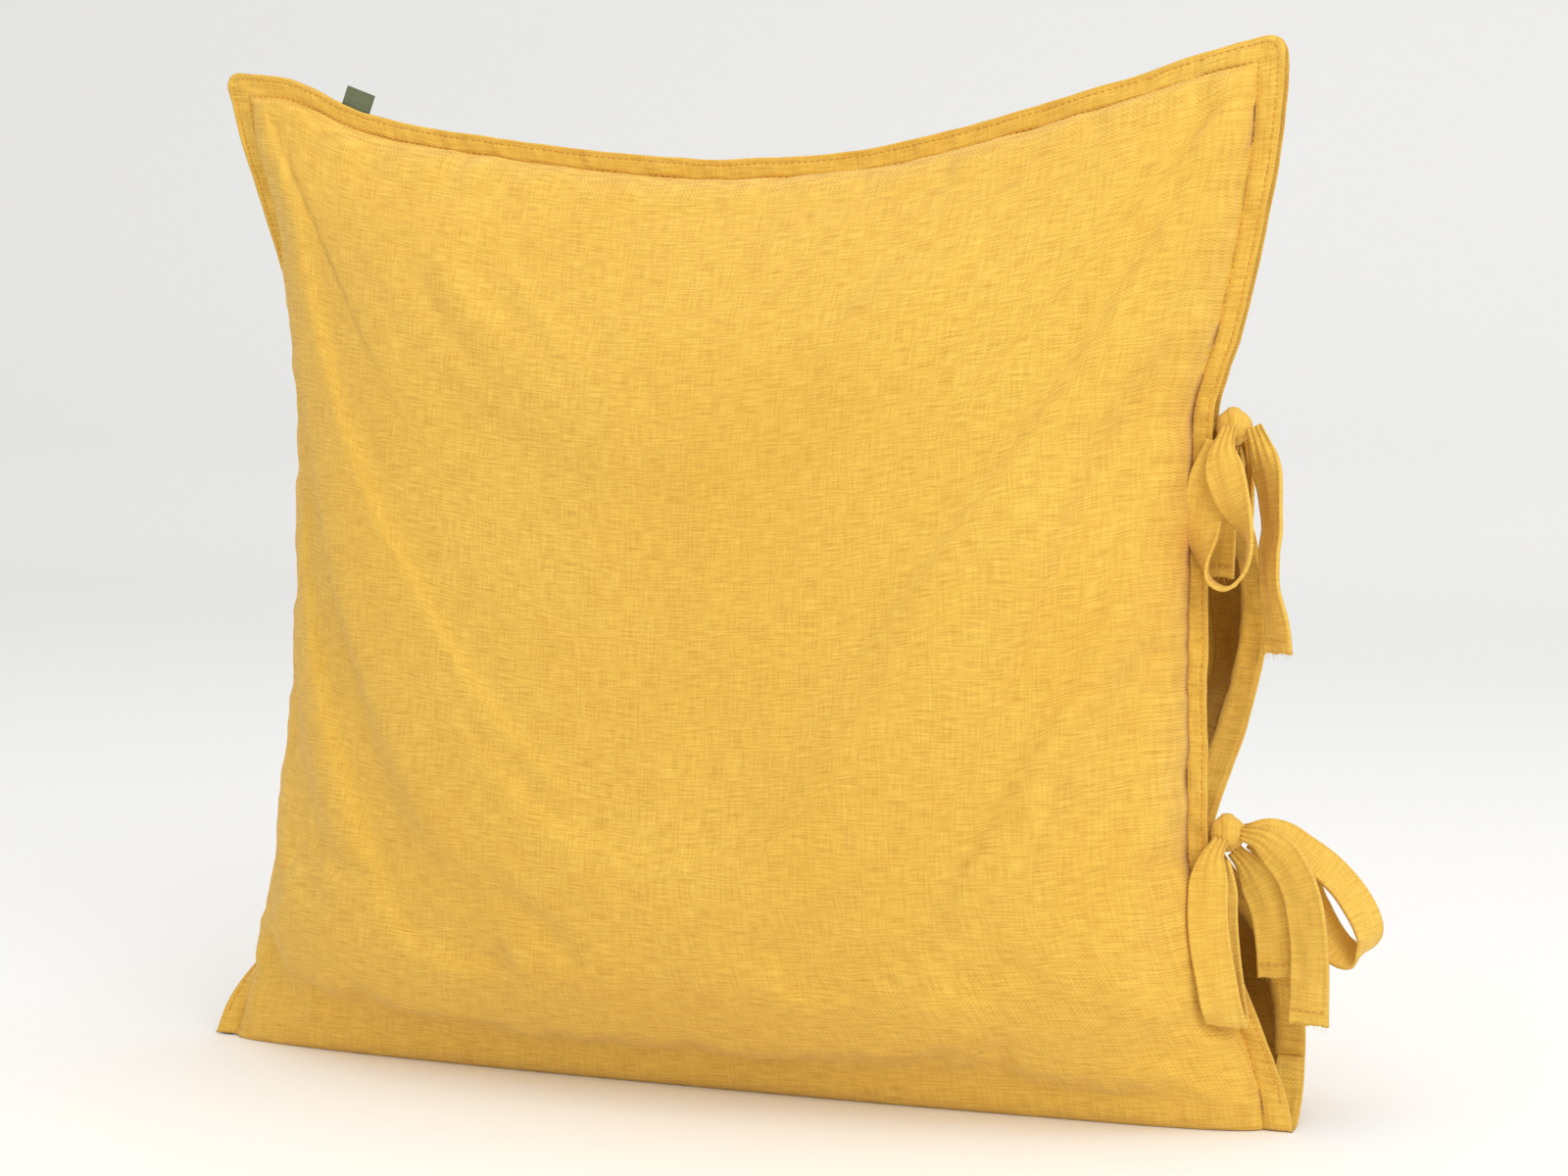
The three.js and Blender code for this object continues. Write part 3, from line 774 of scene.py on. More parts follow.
class Graph:
    """A node tree with short calls for adding and joining nodes."""

    def __init__(self, tree: bpy.types.NodeTree) -> None:
        """Wraps a node tree.

        Args:
            tree: the tree to fill.
        """
        self.tree = tree

    def node(self, kind: str, **settings: object) -> bpy.types.Node:
        """A new node with the given properties.

        Args:
            kind: the node's type name.
            settings: its properties.

        Returns:
            The new node.
        """
        made = self.tree.nodes.new(kind)
        for key, value in settings.items():
            setattr(made, key, value)
        return made

    def link(self, out: bpy.types.NodeSocket, into: bpy.types.NodeSocket) -> None:
        """Joins two sockets.

        Args:
            out: the output socket.
            into: the input socket.
        """
        self.tree.links.new(out, into)

    def maths(self, operation: str, *values: object) -> bpy.types.NodeSocket:
        """A Math node on sockets or numbers.

        Args:
            operation: the node's operation.
            values: sockets or numbers, in order.

        Returns:
            The output socket.
        """
        made = self.node("ShaderNodeMath", operation=operation)
        for slot, value in zip(made.inputs, values):
            if isinstance(value, (int, float)):
                slot.default_value = value
            else:
                self.link(value, slot)
        return made.outputs[0]

    def stretched(
        self,
        vector: bpy.types.NodeSocket,
        scale: tuple[float, float, float],
        detail: float = 2.0,
    ) -> bpy.types.NodeSocket:
        """Noise on coordinates scaled by different amounts along each axis.

        Args:
            vector: the coordinates.
            scale: scale along each axis.
            detail: octaves of the noise.

        Returns:
            The noise value.
        """
        mapping = self.node("ShaderNodeMapping")
        socket_value(mapping, "Scale", scale)
        self.link(vector, mapping.inputs["Vector"])
        noise = self.node("ShaderNodeTexNoise")
        socket_value(noise, "Scale", 1.0)
        socket_value(noise, "Detail", detail)
        self.link(mapping.outputs[0], noise.inputs["Vector"])
        return noise.outputs["Fac"]


class WeaveGroup:
    """Node group of plain-weave linen: thread relief, slubs and tone, on flat cloth coordinates in metres."""

    NAME = "plain_weave"

    def build(self) -> bpy.types.NodeTree:
        """Makes the group once and returns it."""
        if self.NAME in bpy.data.node_groups:
            return bpy.data.node_groups[self.NAME]
        tree = bpy.data.node_groups.new(self.NAME, "ShaderNodeTree")
        face = tree.interface
        face.new_socket("Vector", in_out="INPUT", socket_type="NodeSocketVector")
        for name, value in (("Warp pitch", 1.15 * MM), ("Weft pitch", 0.92 * MM), ("Slub", 1.0)):
            made = face.new_socket(name, in_out="INPUT", socket_type="NodeSocketFloat")
            made.default_value = value
        for name in ("Height", "Thread tone", "Wash tone"):
            face.new_socket(name, in_out="OUTPUT", socket_type="NodeSocketFloat")
        g = Graph(tree)
        start, end = g.node("NodeGroupInput"), g.node("NodeGroupOutput")
        wander = g.node("ShaderNodeTexNoise")
        socket_value(wander, "Scale", 55.0)
        socket_value(wander, "Detail", 2.0)
        g.link(start.outputs["Vector"], wander.inputs["Vector"])
        shift = g.node("ShaderNodeVectorMath", operation="SCALE")
        g.link(wander.outputs["Color"], shift.inputs[0])
        socket_value(shift, "Scale", 0.9 * MM)
        bent = g.node("ShaderNodeVectorMath", operation="ADD")
        g.link(start.outputs["Vector"], bent.inputs[0])
        g.link(shift.outputs[0], bent.inputs[1])
        apart = g.node("ShaderNodeSeparateXYZ")
        g.link(bent.outputs[0], apart.inputs[0])
        warp_turns = g.maths("DIVIDE", apart.outputs["X"], start.outputs["Warp pitch"])
        across = g.maths("MULTIPLY", warp_turns, math.pi)
        weft_turns = g.maths("DIVIDE", apart.outputs["Y"], start.outputs["Weft pitch"])
        along = g.maths("MULTIPLY", weft_turns, math.pi)
        over = g.maths("MULTIPLY", g.maths("SINE", across), g.maths("SINE", along))
        weft_slub = g.stretched(bent.outputs[0], (75.0, 1050.0, 1.0))
        warp_slub = g.stretched(bent.outputs[0], (820.0, 60.0, 1.0))
        slubs = g.maths("ADD", weft_slub, g.maths("MULTIPLY", warp_slub, 0.55))
        slubs = g.maths("MULTIPLY", g.maths("SUBTRACT", slubs, 0.775), start.outputs["Slub"])
        height = g.maths("ADD", g.maths("MULTIPLY", over, 0.35), g.maths("MULTIPLY", slubs, 1.6))
        g.link(height, end.inputs["Height"])
        tone = g.maths("ADD", g.maths("MULTIPLY", over, 0.22), g.maths("MULTIPLY", slubs, 1.7))
        g.link(g.maths("ADD", tone, 0.62), end.inputs["Thread tone"])
        wash = g.stretched(start.outputs["Vector"], (7.0, 9.0, 1.0), 4.0)
        g.link(wash, end.inputs["Wash tone"])
        return tree


@dataclass(frozen=True)
class LinenFinish:
    """Washed plain-weave linen in three close tones."""

    name: str
    light: tuple[float, float, float]
    body: tuple[float, float, float]
    deep: tuple[float, float, float]
    relief: float = 0.17 * MM
    warp_pitch: float = 1.15 * MM
    weft_pitch: float = 0.92 * MM
    slub: float = 1.0
    roughness: float = 0.92
    sheen: float = 0.12

    def material(self) -> bpy.types.Material:
        """Makes the material, or returns the one made before."""
        if self.name in bpy.data.materials:
            return bpy.data.materials[self.name]
        made = bpy.data.materials.new(self.name)
        made.use_nodes = True
        g = Graph(made.node_tree)
        shader = made.node_tree.nodes["Principled BSDF"]
        place = g.node("ShaderNodeUVMap", uv_map="cloth")
        weave = g.node("ShaderNodeGroup", node_tree=WeaveGroup().build())
        socket_value(weave, "Warp pitch", self.warp_pitch)
        socket_value(weave, "Weft pitch", self.weft_pitch)
        socket_value(weave, "Slub", self.slub)
        g.link(place.outputs["UV"], weave.inputs["Vector"])
        wash = g.node("ShaderNodeMix", data_type="RGBA")
        wash.inputs[6].default_value = (*self.body, 1.0)
        wash.inputs[7].default_value = (*self.light, 1.0)
        spread = g.node("ShaderNodeMapRange")
        socket_value(spread, "From Min", 0.3)
        socket_value(spread, "From Max", 0.7)
        g.link(weave.outputs["Wash tone"], spread.inputs["Value"])
        g.link(spread.outputs["Result"], wash.inputs[0])
        thread = g.node("ShaderNodeMix", data_type="RGBA")
        g.link(weave.outputs["Thread tone"], thread.inputs[0])
        thread.inputs[6].default_value = (*self.deep, 1.0)
        g.link(wash.outputs[2], thread.inputs[7])
        g.link(thread.outputs[2], shader.inputs["Base Color"])
        rough = g.node("ShaderNodeMapRange")
        socket_value(rough, "To Min", self.roughness - 0.08)
        socket_value(rough, "To Max", self.roughness + 0.05)
        g.link(weave.outputs["Thread tone"], rough.inputs["Value"])
        g.link(rough.outputs["Result"], shader.inputs["Roughness"])
        relief = g.node("ShaderNodeBump")
        socket_value(relief, "Distance", self.relief)
        socket_value(relief, "Strength", 0.8)
        g.link(weave.outputs["Height"], relief.inputs["Height"])
        g.link(relief.outputs["Normal"], shader.inputs["Normal"])
        socket_value(shader, "Sheen Weight", self.sheen)
        socket_value(shader, "Sheen Roughness", 0.6)
        socket_value(shader, "Specular IOR Level", 0.18)
        return made


LINEN = LinenFinish("washed_linen", (0.87, 0.565, 0.098), (0.83, 0.505, 0.078), (0.58, 0.30, 0.034))
# Same linen as the panels in darker tones: painted shade for the facing seen inside the mouth.
LINEN_PAINTED_SHADE = LinenFinish(
    "washed_linen_painted_shade",
    (0.80, 0.48, 0.075),
    (0.74, 0.41, 0.055),
    (0.50, 0.24, 0.025),
)
RIBBON_LINEN = LinenFinish(
    "ribbon_linen",
    (0.90, 0.61, 0.120),
    (0.85, 0.53, 0.085),
    (0.62, 0.33, 0.040),
    0.18 * MM, 1.05 * MM, 0.95 * MM, 0.8,
)
THREAD = LinenFinish(
    "sewing_thread",
    (0.80, 0.44, 0.055),
    (0.74, 0.38, 0.045),
    (0.55, 0.26, 0.03),
    0.08 * MM, 0.5 * MM, 0.35 * MM, 0.5, 0.75, 0.2,
)
CAMBRIC = LinenFinish(
    "insert_cambric",
    (0.90, 0.89, 0.86),
    (0.86, 0.85, 0.81),
    (0.74, 0.73, 0.69),
    0.08 * MM, 0.5 * MM, 0.5 * MM, 0.5, 0.95, 0.05,
)
LABEL_TAPE = LinenFinish(
    "label_tape",
    (0.20, 0.225, 0.13),
    (0.16, 0.18, 0.10),
    (0.085, 0.10, 0.05),
    0.12 * MM, 0.55 * MM, 0.4 * MM, 0.6, 0.8, 0.15,
)


def dress(piece: bpy.types.Object, finish: LinenFinish) -> None:
    """Gives a piece its finish.

    Args:
        piece: the object.
        finish: its cloth or thread.
    """
    piece.data.materials.clear()
    piece.data.materials.append(finish.material())


# ---------------------------------------------------------------- the cover
class ThreadRow:
    """One row of separate stitches laid on a surface."""

    LENGTH = 2.7 * MM
    PITCH = 3.5 * MM
    WIDTH = 0.9 * MM
    RISE = 0.65 * MM

    def template(self) -> tuple[np.ndarray, list[tuple[int, ...]]]:
        """Vertices and faces of one stitch, which dives into the cloth at both ends."""
        rings = [(-0.5, -0.5, 0.5), (-0.28, 0.45, 0.9), (0.0, 0.75, 1.0), (0.28, 0.45, 0.9), (0.5, -0.5, 0.5)]
        points, sides = [], 6
        for along, rise, girth in rings:
            for k in range(sides):
                a = 2 * math.pi * k / sides
                points.append(
                    (
                        along * self.LENGTH,
                        girth * self.WIDTH / 2 * math.cos(a),
                        rise * self.RISE / 2 + girth * self.RISE / 2 * math.sin(a),
                    )
                )
        faces: list[tuple[int, ...]] = []
        for ring in range(len(rings) - 1):
            for k in range(sides):
                a, b = ring * sides + k, ring * sides + (k + 1) % sides
                faces.append((a, a + sides, b + sides, b))
        last = (len(rings) - 1) * sides
        faces.append(tuple(range(sides)))
        faces.append(tuple(reversed(range(last, last + sides))))
        return np.array(points), faces

    def build(self, name: str, points: np.ndarray, normals: np.ndarray) -> bpy.types.Object:
        """Lays stitches along a line.

        Args:
            name: object name.
            points: closely spaced points of the line.
            normals: the surface's normal at each point.

        Returns:
            The joined stitches.
        """
        steps = np.linalg.norm(np.diff(points, axis=0), axis=1)
        run = np.concatenate([[0], np.cumsum(steps)])
        count = int(run[-1] / self.PITCH)
        centres = (np.arange(count) + 0.5) * self.PITCH

        def sample(values: np.ndarray, at: np.ndarray) -> np.ndarray:
            """Values along the line at the given distances.

            Args:
                values: what is known along the line.
                at: the distances.

            Returns:
                The values there.
            """
            return np.stack([np.interp(at, run, values[:, k]) for k in range(3)], -1)

        middle = sample(points, centres)
        ahead = sample(points, centres + self.LENGTH / 2) - sample(points, centres - self.LENGTH / 2)
        ahead /= np.linalg.norm(ahead, axis=1, keepdims=True)
        up = sample(normals, centres)
        up -= ahead * np.sum(up * ahead, axis=1, keepdims=True)
        up /= np.linalg.norm(up, axis=1, keepdims=True)
        frames = np.stack([ahead, np.cross(up, ahead), up], 1)
        template, faces = self.template()
        return many(name, template, faces, frames, middle)


@dataclass
class Cover:
    """The two linen panels with their hems, mouth facings and stitch rows."""

    shape: CoverShape
    relief: Relief
    sheet_thickness: float = 1.0 * MM
    facing_width: float = 38 * MM
    facing_cut: tuple[float, float] = (51 * MM, 550 * MM)
    facing_thickness: float = 0.9 * MM
    flat_size: float = 600 * MM
    pieces: list = field(default_factory=list)

    def columns(self) -> np.ndarray:
        """Stations across a panel, closer over the hems."""
        hem = 2 * 1.3 * self.shape.hem / self.shape.top_width
        edge = np.linspace(0, hem, 20)
        inner = np.linspace(-1 + hem, 1 - hem, 150)[1:-1]
        return np.concatenate([-1 + edge, inner, (1 - edge)[::-1]])

    def rows(self) -> np.ndarray:
        """Stations up a panel, from the middle of the base to the top edge."""
        hem = 1.3 * self.shape.hem / self.shape.height
        floor = np.linspace(-1, 0, 7)[:-1]
        rise = np.linspace(0, 1 - hem, 140) ** 1.06
        rise = rise / rise[-1] * (1 - hem)
        return np.concatenate([floor, rise, np.linspace(1 - hem, 1, 20)[1:]])

    def panel(self, face: Face) -> bpy.types.Object:
        """One panel as a closed thin sheet of cloth.

        Args:
            face: front or back.

        Returns:
            The new object.
        """
        s, t = np.meshgrid(self.columns(), self.rows())
        outer = self.relief.surface(s, t, face)
        inner = self.relief.surface(s, t, face) - self.shape.normal(s, t, face) * self.sheet_thickness
        inner[..., 2] = np.maximum(inner[..., 2], self.sheet_thickness)
        piece = shell(f"{face.word}_linen_panel", outer, inner, self.shape.flat_uv(s, t), face is Face.BACK)
        dress(piece, LINEN)
        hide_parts(f"{face.word}_panel")
        return piece

    def facing(self, face: Face) -> bpy.types.Object:
        """The turned-in strip inside one mouth edge.

        Args:
            face: front or back.

        Returns:
            The new object.
        """
        first = 1 - 2 * self.facing_width / self.shape.top_width
        last = 1 - 2 * 0.8 * MM / self.shape.top_width
        s, t = np.meshgrid(np.linspace(first, last, 22), np.linspace(0.055, 0.965, 130))
        n = self.shape.normal(s, t, face)
        inside = self.sheet_thickness + 0.35 * MM
        outer = self.relief.surface(s, t, face) - n * inside
        inner = outer - n * self.facing_thickness
        name = f"{face.word}_mouth_facing_strip"
        piece = shell(name, outer, inner, self.shape.flat_uv(s, t), face is Face.BACK)
        # The facing's darker linen is painted shade for the inside of the mouth.
        dress(piece, LINEN_PAINTED_SHADE)
        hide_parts(f"{face.word}_mouth_facing")
        return piece

    def stitch_row(self, face: Face, row: str, distance: float) -> bpy.types.Object:
        """One row of topstitching: up the closed side, along the top and down the mouth.

        Args:
            face: front or back.
            row: outer or inner.
            distance: distance from the edge, in metres.

        Returns:
            The new object.
        """
        s_row = 1 - 2 * distance / self.shape.top_width
        t_row = 1 - distance / self.shape.height
        up = np.linspace(0.025, t_row, 420)
        along = np.linspace(-s_row, s_row, 480)
        s = np.concatenate([np.full(up.size, -s_row), along[1:-1], np.full(up.size, s_row)])
        t = np.concatenate([up, np.full(along.size - 2, t_row), up[::-1]])
        points = self.relief.surface(s, t, face, 0.1 * MM)
        piece = ThreadRow().build(f"{face.word}_stitches_{row}", points, self.shape.normal(s, t, face))
        dress(piece, THREAD)
        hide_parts(f"{face.word}_topstitch_{row}")
        return piece

    def build(self) -> None:
        """Makes every piece of the cover."""
        for face in Face:
            self.pieces += [self.panel(face), self.facing(face)]
            self.pieces.append(self.stitch_row(face, "outer", self.relief.outer_row))
            self.pieces.append(self.stitch_row(face, "inner", self.relief.inner_row))
        for piece in self.pieces:
            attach(piece, "cover")
            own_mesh(piece)
            LOG.info("cover piece %s", piece.name)


# ---------------------------------------------------------------- the insert
@dataclass
class Insert:
    """White stuffed pad inside the cover, with its own sewn seam."""

    shape: CoverShape
    ease: float = 6 * MM
    side_ease: float = 24 * MM
    top_ease: float = 26 * MM
    noise: Noise = field(default_factory=lambda: Noise(5))

    def point(self, s: np.ndarray, t: np.ndarray, face: Face) -> np.ndarray:
        """Skin of the pad; s and t run over the cover's shares.

        Args:
            s: share across, from -1 at the closed side to 1 at the mouth.
            t: share up, from 0 at the floor to 1 at the top.
            face: front or back.

        Returns:
            Points, with a last axis of 3.
        """
        shape = self.shape
        side = 1 - 2 * self.side_ease / shape.top_width
        top = 1 - self.top_ease / shape.height
        tt = np.maximum(0, t)
        across = np.maximum(0, 1 - np.abs(s / side) ** 10)
        up = np.maximum(0, 1 - np.clip(tt / top, 0, 1) ** 14)
        depth = np.maximum(0, shape.bulge(s, tt, face) - self.ease) * np.sqrt(across * up)
        pull = self.noise.at(s * 22, 3.5) * (1 - across) + self.noise.at(tt * 22, 8.5) * (1 - up)
        depth = depth * (1 - 0.10 * np.abs(pull))
        depth = np.where(t < 0, depth * (1 + t), depth)
        x = (shape.closed_x(tt) * (1 - s) + shape.mouth_x(tt) * (1 + s)) / 2
        z = np.maximum(shape.cloth + 0.8 * MM, tt * shape.top_z(s))
        return np.stack([x, shape.seam_y + face.value * (depth + 0.3 * MM), z], -1)

    def build(self) -> None:
        """Makes the pad and its seam stitches."""
        shape = self.shape
        side = 1 - 2 * self.side_ease / shape.top_width
        top = 1 - self.top_ease / shape.height
        ends = np.sin(np.linspace(-math.pi / 2, math.pi / 2, 110)) * side
        wall = (1 - np.cos(np.linspace(0, math.pi, 96))) / 2 * top
        rise = np.concatenate([np.linspace(-1, 0, 5)[:-1], wall])
        s, t = np.meshgrid(ends, rise)
        front, back = self.point(s, t, Face.FRONT), self.point(s, t, Face.BACK)
        pad = shell("insert_pad", front, back, shape.flat_uv(s, t), False)
        dress(pad, CAMBRIC)
        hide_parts("insert_front_ticking", "insert_back_ticking", "insert_filling")
        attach(pad, "insert")
        inset = 0.97
        up = np.linspace(0.03, top * inset, 260)
        along = np.linspace(-side * inset, side * inset, 300)
        rs = np.concatenate([np.full(up.size, -side * inset), along, np.full(up.size, side * inset)])
        rt = np.concatenate([up, np.full(along.size, top * inset), up[::-1]])
        line = self.point(rs, rt, Face.FRONT)
        normals = self.shape.normal(rs, rt, Face.FRONT, self.point)
        seam = ThreadRow().build("insert_seam_stitches", line + normals * 0.1 * MM, normals)
        dress(seam, CAMBRIC)
        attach(seam, "insert")
        LOG.info("insert pad and seam")


# ---------------------------------------------------------------- the ties
@dataclass(frozen=True)
class RibbonPath:
    """Line of one ribbon, given in millimetres from the middle of its knot, and how its width lies."""

    points: tuple[tuple[float, float, float], ...]
    wides: tuple[tuple[float, float, float], ...]

    def stations(self, knot: Vector, steps: int) -> tuple[np.ndarray, np.ndarray]:
        """Smooth line through the points.

        Args:
            knot: middle of the knot, in metres.
            steps: number of steps along.

        Returns:
            Places and unit width directions, one row each.
        """
        places = self._curve(np.array(self.points) * MM, steps) + np.array(knot)
        wides = self._curve(np.array(self.wides, float), steps)
        return places, wides / np.linalg.norm(wides, axis=1, keepdims=True)

    @staticmethod
    def _curve(points: np.ndarray, steps: int) -> np.ndarray:
        """Catmull-Rom curve through points, with ends carried straight on.

        Args:
            points: the placed points.
            steps: stretches between the samples.

        Returns:
            Points along the curve.
        """
        full = np.concatenate([[2 * points[0] - points[1]], points, [2 * points[-1] - points[-2]]])
        k = np.linspace(0, len(points) - 1, steps + 1)
        i = np.minimum(k.astype(int), len(points) - 2)
        u = (k - i)[:, None]
        a, b, c, d = full[i], full[i + 1], full[i + 2], full[i + 3]
        square = (2 * a - 5 * b + 4 * c - d) * u**2
        cube = (3 * b - a - 3 * c + d) * u**3
        return 0.5 * (2 * b + (c - a) * u + square + cube)


@dataclass
class Ribbon:
    """A linen tie: a folded strip with stitched edges, gathered into pleats near its knot."""

    width: float = 20 * MM
    thickness: float = 0.9 * MM
    edge_fold: float = 0.45 * MM
    pleat: float = 1.5 * MM
    pinch: float = 0.42
    reach: float = 24 * MM
    knot_radius: float = 8.5 * MM
    columns: int = 16
    noise: Noise = field(default_factory=lambda: Noise(7))

    def build(
        self,
        name: str,
        places: np.ndarray,
        wides: np.ndarray,
        knot: Vector,
        frayed: bool = False,
    ) -> bpy.types.Object:
        """Sweeps the strip along its line.

        Args:
            name: object name.
            places: line's points.
            wides: direction of the width at each.
            knot: middle of the knot that gathers it.
            frayed: whether the far end is a raw, uneven edge.

        Returns:
            The strip as a closed mesh.
        """
        along = np.gradient(places, axis=0)
        along /= np.linalg.norm(along, axis=1, keepdims=True)
        across = wides - along * np.sum(wides * along, axis=1, keepdims=True)
        across /= np.linalg.norm(across, axis=1, keepdims=True)
        up = np.cross(along, across)
        away = np.linalg.norm(places - np.array(knot), axis=1)
        share = self.pinch + (1 - self.pinch) * smooth((away - self.knot_radius) / self.reach)
        run = np.concatenate([[0], np.cumsum(np.linalg.norm(np.diff(places, axis=0), axis=1))])
        u = np.linspace(-1, 1, self.columns + 1)[None, :]
        gathered = (1 - share)[:, None]
        lift = self.pleat * gathered * np.cos(3.5 * math.pi * u + 0.8)
        lift = lift + 0.7 * MM * self.noise.at(run[:, None] / 0.014, 2 * u + 7) * (1 - 0.5 * gathered)
        lift = lift + 1.3 * MM * self.noise.at(run[:, None] / 0.03 + 11, 3.5) * u**2
        fold = smooth((np.abs(u) - 0.72) / 0.1) * self.edge_fold
        seam = 0.25 * MM * np.exp(-(((np.abs(u) - 0.72) / 0.05) ** 2))
        half = self.thickness / 2 + fold - seam + 0 * gathered
        base = places[:, None, :] + across[:, None, :] * (u * share[:, None] * self.width / 2)[..., None]
        if frayed:
            ragged = 0.9 * MM * self.noise.at(np.linspace(0, 9, self.columns + 1), 4.5)
            base[-1] += along[-1] * ragged[:, None]
        top = base + up[:, None, :] * (lift + half)[..., None]
        low = base + up[:, None, :] * (lift - half)[..., None]
        uv = np.stack([u * self.width / 2 + 0 * gathered, run[:, None] + 0 * u], -1)
        return shell(name, top, low, uv, False)


@dataclass(frozen=True)
class TiePiece:
    """One loop or tail of a bow."""

    name: str
    path: RibbonPath
    flat_length: float
    held: str = "hung"


UPPER_PIECES = (
    TiePiece(
        "upper_front_loop",
        RibbonPath(
            ((-0.5, -8.6, 0.5), (-2, -18, -14), (5, -27, -33), (13, -26, -54), (11, -24, -69),
             (3, -23, -77.5), (-7, -21, -72), (-11, -16.5, -48), (-9, -12.5, -24), (-6, -9.4, -7),
            ),
            ((1, 0, 0.2), (1, 0, 0.35), (0.85, -0.35, 0.3), (0.35, -0.93, 0), (0.2, -1, 0), (0.1, -1, 0),
             (0.2, -0.95, 0), (0.85, -0.2, 0), (1, 0, 0), (1, 0, 0),
            ),
        ),
        0.174,
        "folded",
    ),
    TiePiece(
        "upper_back_loop",
        RibbonPath(
            ((1, 8.3, -1), (2, 12, -12), (2, 14.5, -28), (2.2, 14.6, -42), (1, 14, -49),
             (-1.5, 12, -49.5), (-2.2, 11.4, -42), (-2, 11.6, -26), (-3, 8.6, -10.5),
            ),
            ((1, 0, 0), (0.8, -0.5, 0), (0.6, -0.8, 0), (0.6, -0.8, 0), (0.6, -0.8, 0), (0.6, -0.8, 0),
             (0.6, -0.8, 0), (0.6, -0.8, 0), (1, 0, 0),
            ),
        ),
        0.095,
        "folded",
    ),
    TiePiece(
        "upper_right_tail",
        RibbonPath(
            ((10.6, -5, 0), (14, -6.5, -9), (18.5, -8.5, -25), (21.5, -10.5, -48), (20, -10.5, -62),
             (20.5, -10.5, -78), (24, -10.5, -95), (25, -10.5, -110),
            ),
            ((0.35, 0, 1), (0.8, -0.2, 0.5), (0.75, -0.6, 0.1), (0.6, -0.8, 0), (0.6, -0.8, 0),
             (0.6, -0.8, 0), (0.7, -0.7, 0), (0.75, -0.66, 0),
            ),
        ),
        0.117,
    ),
    TiePiece(
        "upper_back_tail",
        RibbonPath(
            ((-2, 0.6, -8.9), (-7.5, 0.6, -36), (-9.5, 0.6, -74),
            ),
            ((1, 0, 0), (1, 0, 0), (1, 0, 0),
            ),
        ),
        0.068,
    ),
)
LOWER_PIECES = (
    TiePiece(
        "lower_front_loop",
        RibbonPath(
            ((-1.5, -8, -2), (-5, -16, -14), (-4, -24, -42), (3, -31, -74), (6, -30.5, -86),
             (6.5, -26.5, -91), (6, -22.5, -86), (4, -21.5, -74), (-1, -15, -44), (-2, -10.6, -12),
            ),
            ((1, 0, 0), (1, 0, 0), (1, 0, 0), (1, 0, 0), (1, 0, 0), (1, 0, 0), (1, 0, 0), (1, 0, 0),
             (1, 0, 0), (1, 0, 0),
            ),
        ),
        0.185,
        "folded",
    ),
    TiePiece(
        "lower_right_loop",
        RibbonPath(
            ((8.1, 3.9, 0), (20, 9, 0), (35, 12.5, -8), (52, 13.2, -21), (64, 13.5, -36),
             (68.5, 13.5, -50), (63, 13.5, -60), (54, 13.5, -58), (46, 13.3, -48), (40, 13, -36),
             (34, 12.5, -22), (22, 11, -11), (9.8, 10.4, -4),
            ),
            ((0, 0.3, 1), (0.2, 0.6, 0.7), (0.42, 0.8, 0.42), (0.42, 0.8, 0.42), (0.42, 0.8, 0.42),
             (0.42, 0.8, 0.42), (0.42, 0.8, 0.42), (0.42, 0.8, 0.42), (0.42, 0.8, 0.42),
             (0.42, 0.8, 0.42), (0.42, 0.8, 0.42), (0.3, 0.6, 0.7), (0, 0.3, 1),
            ),
        ),
        0.185,
        "folded",
    ),
    TiePiece(
        "lower_middle_tail",
        RibbonPath(
            ((8, -4.5, 0.8), (19, -6.5, -2), (31, -6.5, -13), (39, -6, -31), (42.5, -6, -60),
             (42.5, -6, -92),
            ),
            ((0.35, 0, 1), (0.5, -0.1, 0.85), (0.8, -0.2, 0.55), (1, -0.3, 0.15), (1, -0.25, 0),
             (1, -0.1, 0),
            ),
        ),
        0.113,
    ),
    TiePiece(
        "lower_back_tail",
        RibbonPath(
            ((3, 1.2, -8.8), (13, 1.2, -20), (21, 1.2, -37), (24.5, 1.2, -55), (25.5, 1.2, -71),
            ),
            ((1, 0, 0.25), (1, 0, 0.5), (1, 0, 0.3), (1, 0, 0.1), (1, 0, 0),
            ),
        ),
        0.071,
    ),
)


